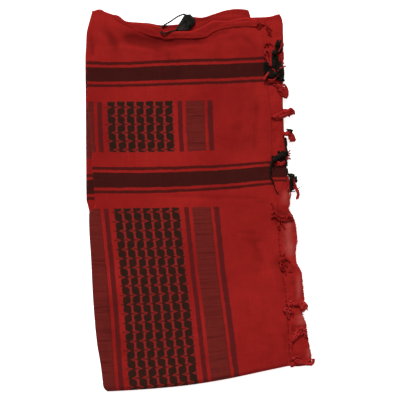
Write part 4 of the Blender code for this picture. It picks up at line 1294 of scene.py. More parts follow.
def layerPlan(across, along, insets):
    left, right, head, foot = insets
    halfWidth, middleX, halfLength = innerLayers["guess"]
    x = across * halfWidth + middleX
    y = along * halfLength
    for _ in range(6):
        low = guideY(x, np.zeros_like(x)) + foot
        high = guideY(x, np.full_like(x, cloth["length"])) + innerLayers["headGap"]
        high = np.minimum(innerLayers["head"], high) - head
        y = low + (along + 1.0) * 0.5 * (high - low)
        lowX = np.maximum(column(backSides, 1, y), column(frontSides, 1, y)) + left
        highX = column(backSides, 2, y) - right
        x = lowX + (across + 1.0) * 0.5 * (highX - lowX)
    return x, y


def makeInnerLayers():
    segments, rings = innerLayers["segments"], innerLayers["rings"]
    bpy.ops.mesh.primitive_uv_sphere_add(segments=segments, ring_count=rings, radius=1.0)
    piece = bpy.context.object
    piece.name = piece.data.name = "innerLayers"
    places = np.empty(len(piece.data.vertices) * 3)
    piece.data.vertices.foreach_get("co", places)
    places = places.reshape(-1, 3)
    ring = np.rint(np.arccos(np.clip(places[:, 2], -1.0, 1.0)) / (math.pi / rings)).astype(int)
    turn = np.arctan2(places[:, 1], places[:, 0])
    # a rounded square round the stack, a cap of rings on top, the layer edges, and a cap below
    cap = rings // 6
    side = rings - 2 * cap
    belowShare = np.where(ring > rings - cap, (rings - ring) / cap, 1.0)
    capShare = np.where(ring < cap, ring / cap, belowShare)
    heightShare = 1.0 - np.clip((ring - cap) / side, 0.0, 1.0)
    power = innerLayers["squareness"]
    square = (np.abs(np.cos(turn)) ** power + np.abs(np.sin(turn)) ** power) ** (-1.0 / power)
    planX = np.cos(turn) * square * capShare
    planY = np.sin(turn) * square * capShare
    table = innerLayers["insets"]
    insets = [column(table, k, heightShare) for k in range(1, 5)]
    leaf = 0.5 - 0.5 * np.cos(2.0 * math.pi * innerLayers["leaves"] * heightShare)
    reach, lean, across, rise = innerLayers["wander"]
    wander = np.array([noise.noise(Vector((across * math.cos(a), across * math.sin(a), rise * h)))
                       for a, h in zip(turn, heightShare)])
    tuck = innerLayers["leafDepth"] * (1.0 - leaf) + reach * (wander + lean)
    x, y = layerPlan(planX, planY, [inset + tuck for inset in insets])
    top = secondTop(x, y) - innerLayers["underTop"]
    floor = innerLayers["floor"]
    z = floor + heightShare * (np.maximum(top, floor + 2.0) - floor)
    setPoints(piece, np.column_stack((x, y, z)))
    piece.data.uv_layers[0].name = "OFBake"
    piece.data.shade_smooth()
    piece.data.materials.append(innerCotton)
    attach(piece, "root")
    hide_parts("hidden_layers")


makeInnerLayers()
print("inner layers laid")


# The fringe. Threads are placed by picture points, and lie on the cloth below them

picture = {"middleX": 199.7, "middleY": 199.8, "millimetres": 1.46}

yarns = {
    "step": 0.5,
    "slope": 0.9,
    "pitch": 5.2,
    "plyFrom": 0.6,
    "ropeFrom": 1.35,
    "fullness": 1.42,
    "knotTurns": 3.2,
    "knotFullness": 1.15,
    # how a thread sits on the cloth, shares of its radius, and how it sways: reach and length
    "seat": 0.85,
    "floorSeat": 1.6,
    "sway": (0.18, 3.0),
    # threads thin out to their ends, and ropes fray
    "taper": (0.25, 0.6),
    "fray": (0.35, 0.75),
    "pairFullness": 1.24,
    "ropeFullness": 1.12,
    "ropePitch": 1.6,
    "ropeCore": 0.55,
    # knots, in shares of their radius: yarn, ring, length, seat and the core's thickness along it
    "knotYarn": 0.38,
    "knotRing": 0.60,
    "knotLength": 0.72,
    "knotSeat": 0.75,
    "knotCore": (0.3, 0.5, 0.6, 0.62, 0.6, 0.5, 0.3),
    # short lumps of a heap: length and bow in pixels, then size and lift
    "lumpLength": (1.4, 3.2),
    "lumpBow": 1.3,
    "lumpSize": (0.75, 1.15),
    "lumpLift": (-0.7, 0.3),
}


def planPoints(points):
    points = np.asarray(points, float)
    x = (points[:, 0] - picture["middleX"]) * picture["millimetres"]
    y = (picture["middleY"] - points[:, 1]) * picture["millimetres"]
    return np.column_stack((x, y))


def layPath(plan, radius, lift=0.0):
    # a smooth path over the cloth that bridges what it can't follow
    gaps = np.hypot(*np.diff(plan, axis=0).T)
    along = np.concatenate(([0.0], np.cumsum(gaps)))
    count = max(5, int(along[-1] / yarns["step"]) + 1)
    at = np.linspace(0.0, along[-1], count)
    x = curveThrough(along, plan[:, 0], at)
    y = curveThrough(along, plan[:, 1], at)
    reach, size = yarns["sway"]
    y = y + reach * np.array([noise.noise(Vector((a / size, plan[0, 0], plan[0, 1]))) for a in at])
    z = surfaceUnder(x, y) + yarns["seat"] * radius + lift
    drop = yarns["slope"] * along[-1] / (count - 1)
    for k in range(1, count):
        z[k] = max(z[k], z[k - 1] - drop)
    for k in range(count - 2, -1, -1):
        z[k] = max(z[k], z[k + 1] - drop)
    return np.column_stack((x, y, np.maximum(z, yarns["floorSeat"] * radius)))


def addSpline(shape, path, radii):
    spline = shape.splines.new("POLY")
    spline.points.add(len(path) - 1)
    world = (path - outlineMiddle) * mm
    spline.points.foreach_set("co", np.column_stack((world, np.ones(len(path)))).ravel())
    spline.points.foreach_set("radius", np.broadcast_to(radii, len(path)).astype(float))


def addThread(shape, path, radius, phase=0.0):
    # thin threads are one yarn, others two plies, and thick ones a loose rope of five
    radius = radius * yarns["fullness"]
    plies = 1 if radius < yarns["plyFrom"] else 2 if radius < yarns["ropeFrom"] else 5
    share = np.linspace(0.0, 1.0, len(path))
    thinning, taperFrom = yarns["taper"]
    taper = 1.0 - thinning * blend(taperFrom, 1.0, share)
    if plies == 1:
        addSpline(shape, path, radius * taper)
        return
    tangent = np.gradient(path, axis=0)
    tangent /= np.linalg.norm(tangent, axis=1)[:, None]
    side = np.cross(tangent, (0.0, 0.0, 1.0))
    side /= np.maximum(np.linalg.norm(side, axis=1), 1e-6)[:, None]
    up = np.cross(side, tangent)
    run = np.concatenate(([0.0], np.cumsum(np.linalg.norm(np.diff(path, axis=0), axis=1))))
    sine = math.sin(math.pi / plies)
    ply = radius * sine / (1.0 + sine)
    isRope = plies > 2
    pitch = yarns["pitch"] * radius * (yarns["ropePitch"] if isRope else 1.0)
    opening, frayFrom = yarns["fray"]
    spread = 1.0 + (opening * blend(frayFrom, 1.0, share) if isRope else 0.0 * share)
    ring = ((radius - ply) * spread)[:, None]
    fullness = yarns["ropeFullness" if isRope else "pairFullness"]
    for k in range(plies):
        angle = phase + 2.0 * math.pi * (run / pitch + k / plies)
        offset = side * np.cos(angle)[:, None] + up * np.sin(angle)[:, None]
        addSpline(shape, path + offset * ring, fullness * ply * taper)
    if isRope:
        addSpline(shape, path, yarns["ropeCore"] * radius * taper)


def addKnot(shape, x, y, radius, heading, lift=0.0):
    # a yarn wound round a soft core
    radius = radius * yarns["knotFullness"]
    ground = float(surfaceUnder(np.array((x,)), np.array((y,)))[0])
    middle = np.array((x, y, ground + yarns["knotSeat"] * radius + lift))
    angle = math.radians(heading)
    axis = np.array((math.cos(angle), math.sin(angle), 0.12))
    side = np.array((-math.sin(angle), math.cos(angle), 0.0))
    up = np.array((0.0, 0.0, 1.0))
    share = np.linspace(-1.0, 1.0, 34)
    turn = math.pi * yarns["knotTurns"] * (share + 1.0) + x
    ring = yarns["knotRing"] * radius * np.sqrt(1.0 - 0.6 * share ** 2)
    path = middle + np.outer(share * yarns["knotLength"] * radius, axis)
    path = path + np.outer(ring * np.cos(turn), side) + np.outer(ring * np.sin(turn), up)
    addSpline(shape, path, yarns["knotYarn"] * radius)
    thickness = np.array(yarns["knotCore"])
    core = middle + np.outer(np.linspace(-0.75, 0.75, len(thickness)) * radius, axis)
    addSpline(shape, core, radius * thickness)


def finishYarn(shape, material, slotName, node=None):
    piece = bpy.data.objects.new(shape.name, shape)
    bpy.context.scene.collection.objects.link(piece)
    bpy.ops.object.select_all(action="DESELECT")
    piece.select_set(True)
    bpy.context.view_layer.objects.active = piece
    bpy.ops.object.convert(target="MESH")
    piece = bpy.context.object
    bpy.ops.object.mode_set(mode="EDIT")
    bpy.ops.mesh.select_all(action="SELECT")
    bpy.ops.mesh.normals_make_consistent(inside=False)
    bpy.ops.object.mode_set(mode="OBJECT")
    bpy.ops.object.select_all(action="DESELECT")
    piece.data.shade_smooth()
    piece.data.materials.clear()
    piece.data.materials.append(material)
    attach(piece, "root")
    if node:
        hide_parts(node)


def newYarn(name):
    shape = bpy.data.curves.new(name, "CURVE")
    shape.dimensions = "3D"
    shape.bevel_depth = mm
    shape.bevel_resolution = 1
    shape.use_fill_caps = True
    return shape


yarnKinds = {
    "red": (redYarn, "red_yarn"),
    "dull": (dullYarn, "red_yarn"),
    "black": (blackYarn, "black_yarn"),
}

# Each tassel: the solid it stands for, its yarn, its knots (X, Y, radius, heading) and its threads
# (radius, then points). Points are pixels of the picture; radii are millimetres.
fringe = {
    "headThread": ("front_tassel_1", "dull", ((262.3, 24.2, 1.7, 14.0),), (
        (0.65, ((259.0, 24.6), (262.0, 24.2))),
        (0.6, ((262.0, 24.0), (259.5, 22.6), (257.0, 23.8), (256.2, 26.0))),
        (0.6, ((262.0, 24.5), (260.5, 27.0), (257.5, 28.2))),
        (0.6, ((263.0, 24.0), (266.0, 25.0), (268.5, 27.5), (271.0, 29.5))),
        (0.7, ((266.0, 28.0), (268.0, 31.0), (270.5, 34.0), (271.5, 36.0))),
        (0.6, ((271.8, 29.0), (270.0, 32.0), (267.5, 34.5))))),
    "headLoop": ("front_tassel_2", "dull", ((267.3, 43.4, 1.5, -24.0),), (
        (0.75, ((264.2, 47.3), (265.5, 44.5), (267.0, 42.8), (268.6, 44.6), (267.5, 47.0))),
        (0.6, ((267.5, 43.0), (270.5, 43.8), (273.0, 46.0))),
        (0.6, ((264.5, 44.8), (266.0, 44.0), (267.5, 43.6))))),
    "redLoop": ("front_tassel_3", "red", ((267.0, 50.4, 1.7, -70.0),), (
        (1.15, ((264.0, 49.0), (265.5, 54.0), (267.0, 58.0), (269.0, 63.0), (270.5, 66.0))),
        (1.05, ((267.5, 49.0), (269.0, 52.0), (270.5, 55.0), (271.0, 60.0), (271.0, 66.0))),
        (0.7, ((264.5, 50.5), (263.8, 54.0), (264.8, 58.0))))),
    "upperBlack": ("second_tassel_1", "black", ((274.4, 52.6, 3.4, 60.0), (276.0, 59.2, 2.4, 80.0)), (
        (0.9, ((275.5, 51.0), (277.0, 48.0), (279.0, 44.0), (281.5, 39.5))),
        (0.95, ((277.0, 53.5), (280.0, 52.0), (283.0, 46.0), (283.5, 43.0))),
        (0.9, ((276.3, 50.0), (276.2, 45.0), (277.5, 40.0))),
        (0.8, ((276.8, 50.0), (278.0, 44.0), (278.6, 39.4))),
        (1.2, ((274.5, 54.0), (274.2, 57.0), (275.0, 62.0))),
        (1.2, ((277.5, 50.5), (280.0, 50.0), (282.4, 47.6))),
        (1.7, ((273.5, 56.0), (274.0, 60.0), (274.5, 65.0), (275.5, 70.0))),
        (1.6, ((277.0, 56.0), (277.4, 61.0), (277.8, 66.0), (277.5, 71.0))),
        (1.3, ((272.5, 57.0), (272.6, 61.0), (273.4, 66.0))),
        (2.3, ((275.5, 60.0), (277.5, 66.0), (279.5, 72.0))),
        (1.3, ((279.6, 63.0), (280.4, 67.0), (280.4, 72.0))))),
    "bandBlack": ("front_tassel_4", "black", ((274.5, 74.0, 3.2, 0.0),), (
        (1.3, ((264.0, 63.6), (266.4, 63.2), (269.0, 63.6))),
        (1.3, ((263.8, 65.4), (266.4, 65.2), (269.4, 65.4))),
        (1.3, ((264.0, 67.2), (266.4, 67.0), (269.6, 67.4))),
        (1.3, ((263.8, 69.0), (266.4, 69.0), (269.4, 69.2))),
        (1.3, ((264.0, 70.8), (266.4, 70.8), (269.6, 71.2))),
        (1.3, ((264.2, 72.5), (266.4, 72.6), (269.0, 73.0))),
        (2.0, ((281.8, 66.0), (282.2, 72.0), (281.8, 79.0))),
        (1.9, ((268.5, 75.0), (272.0, 74.5), (278.0, 77.5))),
        (2.0, ((268.0, 71.8), (273.0, 73.2), (279.0, 74.4), (283.0, 74.6))),
        (1.7, ((268.0, 75.6), (273.0, 76.6), (280.0, 76.4))),
        (1.2, ((268.4, 73.8), (272.0, 74.8), (276.0, 75.0))),
        (0.9, ((283.4, 68.0), (283.7, 73.0), (283.3, 80.0))),
        (1.3, ((277.0, 75.0), (280.5, 78.6), (283.4, 81.5))),
        (1.2, ((279.0, 77.0), (281.6, 77.6), (283.2, 77.4))),
        (1.1, ((273.0, 66.0), (275.0, 69.0), (279.0, 69.5), (281.0, 67.0))),
        (1.1, ((275.6, 69.0), (279.0, 71.4), (283.0, 71.8))))),
    "puff": ("second_tassel_2", "red", ((279.0, 86.4, 2.0, -20.0),), (
        (2.1, ((277.0, 85.4), (281.0, 87.0), (285.0, 89.6), (286.8, 93.4), (285.4, 97.6))),
        (1.1, ((281.0, 85.6), (284.4, 84.8), (286.6, 87.4), (287.9, 91.0), (287.8, 95.0), (285.4, 98.0))),
        (0.9, ((285.0, 97.8), (282.0, 95.4), (279.8, 91.6))), (0.8, ((276.0, 84.8), (273.0, 84.6))),
        (2.1, ((279.0, 88.6), (282.4, 91.6), (284.8, 95.4))),
        (1.7, ((280.6, 86.8), (284.0, 89.8), (285.2, 93.8))),
        (0.8, ((276.6, 86.6), (277.4, 90.0), (280.6, 94.4))))),
    "plait": ("front_tassel_5", "red", ((276.0, 116.8, 2.1, 19.0),), (
        (1.9, ((273.0, 117.0), (278.0, 114.8), (283.0, 112.4), (288.0, 110.7), (291.0, 109.3),
        (293.4, 111.8),
               (293.7, 114.4))),
        (1.05, ((276.0, 119.0), (280.0, 118.0), (284.0, 117.0), (287.0, 115.5), (290.0, 113.9),
        (292.0, 114.6))),
        (1.3, ((277.0, 116.5), (281.0, 114.8), (286.0, 113.2), (290.5, 111.8))),
        (1.9, ((278.0, 117.2), (284.0, 115.0), (289.4, 112.9))),
        (1.5, ((285.0, 111.4), (288.6, 111.8), (292.0, 112.4))),
        (0.9, ((283.0, 109.6), (286.5, 109.4), (289.5, 110.4))), (0.8, ((274.4, 116.4), (270.6, 116.8))))),
    "sideKnot": ("second_tassel_3", "black", ((290.4, 130.9, 2.5, -30.0),), (
        (1.4, ((287.8, 131.2), (290.0, 129.9), (292.6, 131.2))),
        (0.8, ((286.6, 131.4), (288.2, 130.6), (290.0, 130.4))),
        (0.7, ((286.0, 129.4), (288.0, 129.0), (290.0, 129.8))))),
    "sideEdge": ("second_tassel_4", "black", ((286.2, 139.2, 1.2, -84.0),), (
        (1.05, ((285.4, 137.4), (285.7, 144.0), (286.5, 149.0), (287.0, 152.0))),
        (0.6, ((286.0, 138.4), (286.8, 142.0), (287.2, 146.0))))),
    "innerBlack": ("front_tassel_6", "black", ((274.4, 159.4, 3.5, 33.0),), (
        (1.05, ((272.5, 160.6), (270.8, 165.0), (270.5, 172.0))),
        (0.9, ((276.0, 158.0), (280.0, 157.0), (283.0, 156.0))),
        (0.9, ((276.0, 161.0), (281.0, 161.0), (285.0, 160.0))),
        (0.8, ((271.4, 157.0), (273.0, 156.2), (275.0, 157.6))),
        (0.8, ((272.0, 162.4), (273.6, 165.4), (274.2, 168.0))))),
    "outerBlack": ("second_tassel_5", "black", ((283.0, 155.4, 3.4, 20.0),), (
        (2.4, ((276.6, 158.0), (281.0, 155.4), (285.0, 153.7), (288.0, 153.0))),
        (1.1, ((281.0, 154.0), (279.0, 152.5), (278.3, 151.3))),
        (1.1, ((284.0, 157.5), (286.5, 161.0), (286.8, 166.0))),
        (1.1, ((283.5, 153.5), (286.0, 151.8), (287.3, 151.0))),
        (0.9, ((283.0, 158.0), (281.0, 159.5), (278.5, 158.5))),
        (1.1, ((281.0, 156.6), (279.4, 157.6), (278.2, 155.6))),
        (1.0, ((284.6, 152.4), (283.0, 151.6), (281.4, 152.4))))),
    "lowerBlack": ("second_tassel_6", "black", ((291.0, 175.6, 2.6, -10.0), (295.8, 180.0, 2.4, -60.0)), (
        (2.2, ((291.4, 176.4), (291.9, 181.0), (291.4, 186.0), (291.4, 190.0))),
        (0.95, ((287.0, 168.5), (287.5, 171.0), (288.2, 173.8), (290.0, 175.0))),
        (1.2, ((291.0, 177.0), (291.3, 182.0), (291.2, 187.0))),
        (0.95, ((292.8, 176.0), (295.3, 178.6), (296.5, 182.0))),
        (0.9, ((288.2, 175.0), (291.0, 173.9), (294.2, 175.0), (294.4, 177.6))),
        (1.0, ((290.4, 188.6), (291.6, 190.6), (291.0, 192.0))),
        (0.42, ((291.0, 191.0), (294.5, 191.5), (297.0, 189.5), (300.0, 187.5), (302.8, 185.7))))),
    "clumpSix": ("front_tassel_7", "dull", ((279.0, 219.5, 2.4, -34.0),), (
        (1.1, ((271.0, 217.5), (275.0, 216.5), (279.0, 219.0))),
        (1.0, ((276.5, 212.0), (278.5, 216.0), (279.5, 219.5))),
        (1.3, ((279.5, 220.5), (278.5, 225.0), (279.5, 229.0))),
        (1.0, ((281.0, 220.0), (285.0, 221.0), (288.5, 220.0), (292.0, 220.5))),
        (1.3, ((288.5, 215.5), (290.5, 217.0), (292.6, 219.6))),
        (1.0, ((281.0, 218.0), (284.5, 216.5), (288.0, 217.0))),
        (0.9, ((280.5, 221.5), (283.0, 225.0), (285.0, 229.0))),
        (0.8, ((273.7, 209.8), (275.4, 213.0), (277.2, 216.4))),
        (0.8, ((270.9, 203.0), (272.8, 205.4), (273.4, 209.0))))),
    "clumpFive": ("front_tassel_8", "dull", ((282.5, 259.5, 2.3, -52.0),), (
        (1.1, ((279.0, 262.0), (280.5, 258.8), (283.5, 257.8), (286.5, 259.5))),
        (1.0, ((283.0, 260.0), (285.5, 263.0), (287.0, 266.5))),
        (1.0, ((281.5, 261.0), (280.5, 265.0), (281.5, 269.0), (284.5, 271.0))),
        (0.8, ((283.8, 256.0), (287.0, 259.0), (290.2, 262.3))),
        (0.9, ((284.0, 262.0), (284.0, 267.0), (286.0, 272.0), (285.5, 275.0))),
        (0.8, ((281.0, 257.0), (283.4, 254.8), (285.0, 252.4))))),
    "clumpFour": ("front_tassel_9", "red", ((290.4, 301.5, 1.9, -12.0),), (
        (1.1, ((288.5, 304.5), (292.0, 303.6), (296.0, 303.0), (299.0, 303.6))),
        (1.4, ((297.0, 303.2), (301.0, 302.5), (304.5, 303.2), (307.2, 306.3), (305.4, 308.8),
        (302.8, 311.4))),
        (1.0, ((300.0, 306.0), (303.5, 307.0), (306.6, 307.2))),
        (0.9, ((301.0, 308.5), (304.0, 309.0), (306.0, 309.4))),
        (0.9, ((299.0, 300.6), (302.4, 300.8), (305.4, 303.2))))),
    "clumpThree": ("front_tassel_10", "red", ((290.0, 308.8, 2.0, -66.0),), (
        (1.0, ((284.0, 308.6), (287.0, 308.2), (290.0, 309.0))), (0.9, ((284.2, 309.0), (284.4, 311.5))),
        (1.0, ((290.5, 310.0), (289.5, 313.0), (288.8, 319.0))),
        (0.9, ((291.0, 310.0), (292.5, 313.0), (293.0, 317.0))),
        (0.8, ((286.4, 309.5), (286.8, 313.0), (287.0, 317.0))))),
    "clumpTwo": ("front_tassel_11", "red", ((292.9, 340.5, 2.1, 70.0),), (
        (1.3, ((293.0, 341.5), (294.0, 338.0), (296.5, 333.0), (297.5, 328.0))),
        (1.2, ((293.5, 341.0), (296.5, 337.5), (300.0, 333.0), (302.5, 328.0))),
        (1.1, ((293.2, 341.8), (293.0, 336.0), (292.0, 331.0))),
        (1.0, ((303.2, 327.0), (304.0, 331.0), (305.5, 337.5))),
        (0.9, ((305.5, 328.0), (306.5, 333.0), (307.3, 338.0))),
        (0.8, ((292.6, 342.0), (291.8, 345.0), (292.2, 349.0))))),
    "cornerFringe": ("front_tassel_12", "red", ((293.5, 358.6, 2.0, -18.0),), (
        (1.2, ((289.5, 364.0), (292.5, 365.0), (295.0, 362.5), (297.0, 360.5))),
        (1.5, ((294.0, 361.0), (299.0, 362.8), (304.0, 363.4), (309.0, 364.2), (312.5, 364.0),
        (313.7, 361.5),
               (313.6, 358.9))),
        (1.0, ((296.0, 359.5), (301.0, 361.0), (305.5, 361.8), (309.0, 361.2), (311.8, 358.8))),
        (1.0, ((289.0, 358.0), (288.8, 361.0), (289.2, 364.5))),
        (1.1, ((298.0, 362.5), (303.0, 364.0), (308.0, 365.0), (312.0, 365.0))),
        (0.8, ((294.4, 357.4), (298.0, 356.8), (301.0, 358.4))))),
}
# threads that lie on the tassels: yarn, how far they lie over the cloth, then as above
looseThreads = {
    "redOverBlack": ("red", 2.4, (), (
        (0.75, ((278.5, 52.0), (281.0, 47.5), (283.0, 43.5))),
        (1.15, ((280.5, 54.0), (282.0, 60.0), (283.0, 64.0))),
        (0.8, ((283.0, 52.0), (283.4, 56.0), (283.3, 60.0))),
        (0.8, ((275.5, 62.0), (277.0, 65.0), (278.5, 68.0))),
        (0.95, ((277.5, 71.0), (281.0, 68.0), (285.3, 66.2))),
        (0.75, ((272.5, 69.0), (275.0, 71.0), (273.0, 74.0))),
        (1.15, ((264.0, 80.0), (266.0, 76.0), (269.0, 72.5))),
        (0.75, ((275.0, 78.5), (277.5, 76.0), (280.0, 73.0))),
        (0.75, ((268.0, 79.5), (273.0, 80.0), (276.0, 78.5))))),
    "redBesideBlack": ("red", 0.3, ((286.8, 133.5, 2.6, 10.0),), (
        (2.3, ((283.0, 133.6), (285.4, 133.9), (288.0, 133.6), (290.0, 133.0))),
        (1.5, ((289.6, 133.4), (291.4, 137.0), (293.2, 141.0))),
        (1.4, ((291.0, 132.4), (293.6, 136.0), (295.0, 140.0))),
        (1.4, ((290.6, 136.0), (291.4, 139.0), (291.8, 141.8))),
        (1.5, ((293.0, 178.6), (294.4, 183.4), (296.6, 188.6), (298.4, 194.0), (297.2, 198.6))),
        (1.2, ((292.0, 184.0), (293.6, 187.6), (294.6, 189.6))),
        (1.15, ((290.0, 132.0), (292.3, 136.0), (295.0, 141.3))),
        (0.9, ((289.5, 134.0), (290.3, 138.0), (290.4, 141.6))),
        (1.0, ((290.5, 133.0), (291.8, 137.5), (292.7, 141.6))),
        (0.8, ((288.5, 134.0), (289.0, 137.0), (289.2, 139.6))),
        (0.85, ((286.0, 154.5), (288.5, 152.0), (290.5, 150.0))),
        (0.85, ((286.0, 155.0), (288.8, 154.0), (290.7, 153.0))),
        (0.85, ((286.0, 156.0), (288.5, 155.8), (290.5, 155.5))),
        (0.95, ((285.5, 157.0), (288.8, 158.0), (291.0, 159.0))),
        (0.8, ((285.0, 158.0), (287.0, 159.0), (288.5, 159.5))),
        (1.4, ((277.0, 162.0), (281.0, 163.5), (285.0, 161.5))),
        (1.2, ((277.5, 164.3), (281.0, 164.6), (284.5, 163.2))),
        (0.8, ((276.0, 165.4), (281.0, 165.2), (283.0, 164.4))),
        (1.4, ((287.5, 176.0), (288.5, 182.0), (289.0, 190.0))),
        (0.9, ((293.5, 182.0), (296.0, 187.0), (298.0, 193.0), (297.0, 199.0))),
        (0.8, ((298.5, 190.0), (299.3, 195.0), (297.5, 197.5), (296.5, 199.5))),
        (0.8, ((289.0, 190.0), (290.6, 194.0), (289.8, 199.0))))),
    "blackBeside": ("black", 0.2, ((291.0, 190.0, 1.5, 40.0),), (
        (0.55, ((271.0, 178.0), (274.0, 184.0), (275.5, 190.0), (278.5, 194.0))),
        (0.5, ((306.8, 309.3), (308.7, 310.8))), (0.7, ((285.0, 66.4), (286.2, 65.8))),
        (0.5, ((270.8, 172.0), (270.2, 176.0), (271.0, 179.0))))),
}


# loose heaps of thread in each tassel: X, Y, half width, half height, count, radius
clumps = {
    "headThread": ((259.5, 25.0, 2.5, 2.0, 5, 0.5), (269.0, 31.0, 2.0, 4.0, 6, 0.5)),
    "redLoop": ((266.6, 55.0, 1.6, 5.0, 5, 0.8),),
    "upperBlack": ((277.4, 48.0, 2.4, 6.0, 9, 0.9), (276.0, 62.0, 3.0, 6.0, 10, 1.0)),
    "bandBlack": ((274.0, 74.0, 5.0, 3.4, 11, 1.0), (281.0, 75.5, 2.2, 5.0, 10, 1.0)),
    "puff": ((283.6, 90.4, 2.2, 3.6, 7, 1.1),),
    "plait": ((284.0, 114.2, 7.0, 1.0, 10, 0.9), (291.0, 111.6, 1.6, 1.6, 5, 0.9)),
    "sideKnot": ((290.0, 131.0, 1.8, 1.3, 6, 0.8),),
    "innerBlack": ((274.5, 159.5, 2.5, 2.5, 7, 0.9),),
    "outerBlack": ((282.5, 155.0, 3.6, 2.8, 12, 0.9),),
    "lowerBlack": ((291.2, 180.5, 1.3, 5.5, 10, 1.0), (295.5, 179.5, 1.0, 2.2, 8, 1.5)),
    "clumpSix": ((275.0, 214.0, 3.0, 4.0, 5, 1.2), (283.0, 219.0, 5.0, 1.6, 9, 1.7),
        (290.0, 218.0, 2.2, 1.6, 6, 1.6)),
    "clumpFive": ((283.0, 262.0, 3.2, 5.0, 10, 1.6), (288.0, 271.5, 4.0, 2.0, 4, 1.3)),
    "clumpFour": ((293.0, 304.0, 5.0, 1.2, 7, 1.7), (303.0, 306.4, 3.0, 2.0, 12, 2.0)),
    "clumpThree": ((288.0, 310.0, 4.0, 2.0, 6, 1.5),),
    "clumpTwo": ((298.0, 331.0, 3.6, 3.6, 9, 1.6), (305.0, 333.0, 1.6, 4.0, 6, 1.4)),
    "cornerFringe": ((300.0, 363.0, 7.0, 1.5, 18, 1.1), (311.0, 363.4, 2.4, 1.8, 9, 1.0),
        (292.0, 364.6, 3.0, 1.6, 8, 0.9)),
}


def addClump(shape, clump, seed, soft):
    # short bowed threads at random places: soft lumps without plies in the dull heaps
    px, py, wide, tall, count, radius = clump
    rng = random.Random(seed)
    for _ in range(count):
        x = px + rng.uniform(-wide, wide)
        y = py + rng.uniform(-tall, tall)
        turn = rng.uniform(0.0, 2.0 * math.pi)
        length = rng.uniform(*yarns["lumpLength"])
        bow = rng.uniform(-yarns["lumpBow"], yarns["lumpBow"])
        along = np.linspace(-0.5, 0.5, 5)
        aside = bow * (1.0 - 4.0 * along ** 2)
        points = np.column_stack((x + length * along * math.cos(turn) - aside * math.sin(turn),
                                  y + length * along * math.sin(turn) + aside * math.cos(turn)))
        size = radius * rng.uniform(*yarns["lumpSize"])
        path = layPath(planPoints(points), size, rng.uniform(*yarns["lumpLift"]))
        if soft:
            share = np.linspace(-0.96, 0.96, len(path))
            sunk = path - np.array((0.0, 0.0, 0.35 * size))
            addSpline(shape, sunk, 1.15 * size * np.sqrt(1.0 - share ** 2))
        else:
            addThread(shape, path, size, turn)


def addParts(shape, knots, threads, lift):
    for px, py, radius, heading in knots:
        x, y = planPoints(((px, py),))[0]
        addKnot(shape, x, y, radius, heading, lift)
    for k, (radius, points) in enumerate(threads):
        addThread(shape, layPath(planPoints(points), radius, lift), radius, 1.7 * k)


def makeFringe():
    for name, (node, kind, knots, threads) in fringe.items():
        shape = newYarn(name)
        addParts(shape, knots, threads, 0.0)
        for k, clump in enumerate(clumps.get(name, ())):
            addClump(shape, clump, name + str(k), kind == "dull")
        finishYarn(shape, *yarnKinds[kind], node)
    for name, (kind, lift, knots, threads) in looseThreads.items():
        shape = newYarn(name)
        addParts(shape, knots, threads, lift)
        finishYarn(shape, *yarnKinds[kind])


makeFringe()
print("tassels tied")


edgeThreads = {
    "seed": 11,
    "front": (-238.0, -20.0, 6.5),
    "second": (-240.0, 6.0, 2.4),
    "length": (0.7, 2.2),
    "radius": 0.24,
}


def makeEdgeThreads():
    # the short warp ends that stand out of the cut edges
    rng = random.Random(edgeThreads["seed"])
    shape = newYarn("edgeThreads")
    shape.bevel_resolution = 0
    for table, index, (low, high, gap) in (
            (frontSides, 2, edgeThreads["front"]), (secondEdge, 1, edgeThreads["second"])):
        y = low
        while y < high:
            edge = float(column(table, index, y))
            length = rng.uniform(*edgeThreads["length"])
            turn = rng.uniform(-0.5, 0.5)
            plan = np.array(((edge - 1.6, y), (edge + 0.5 * length, y + 0.3 * turn * length),
                             (edge + length, y + turn * length)))
            addThread(shape, layPath(plan, edgeThreads["radius"], -0.5), edgeThreads["radius"])
            y += gap * rng.uniform(0.6, 1.4)
    finishYarn(shape, redYarn, "red_yarn")


makeEdgeThreads()
print("edge threads laid")


# The black tassel folded double at the head, and its loose thread

foldedTassel = {
    "seed": 5,
    "threads": 15,
    "radius": 0.95,
    "jitter": 0.35,
    # how far each station of a thread sways with its jitter
    "sway": (0.0, 0.3, 0.5, 0.3, 0.0, -0.2, -0.3, 0.0),
    # it bulges in the middle: where on the arc its first and last threads lie
    "bulge": (0.12, 0.76),
    "foot": ((175.9, 30.4), (188.0, 30.2)),
    "middle": ((179.6, 24.2), (194.6, 22.2)),
    "crown": ((185.2, 15.2), (190.2, 14.9), (194.6, 19.4)),
    "upper": 8.0,
    "lower": 5.1,
    "loose": ((185.5, 14.6), (184.2, 14.1), (178.2, 16.2), (169.8, 21.7), (162.0, 26.6), (160.7, 30.0),
              (161.6, 33.2), (164.0, 33.9), (170.0, 32.0), (176.0, 30.3)),
    "looseRadius": 0.85,
    "looseHeights": (6.8, 6.9, 6.7, 6.2, 6.0, 8.5, 12.4, 13.2, 12.6, 9.0),
}


def evenPath(plan, heights, slack):
    # an even path through stations, each gap taken a little longer
    along = np.concatenate(([0.0], np.cumsum(np.linalg.norm(np.diff(plan, axis=0), axis=1) + slack)))
    at = np.linspace(0.0, along[-1], int(along[-1] / yarns["step"]))
    columns = (plan[:, 0], plan[:, 1], np.array(heights))
    return np.column_stack([curveThrough(along, values, at) for values in columns])


def alongLine(ends, share):
    return np.array(ends[0]) * (1.0 - share) + np.array(ends[1]) * share


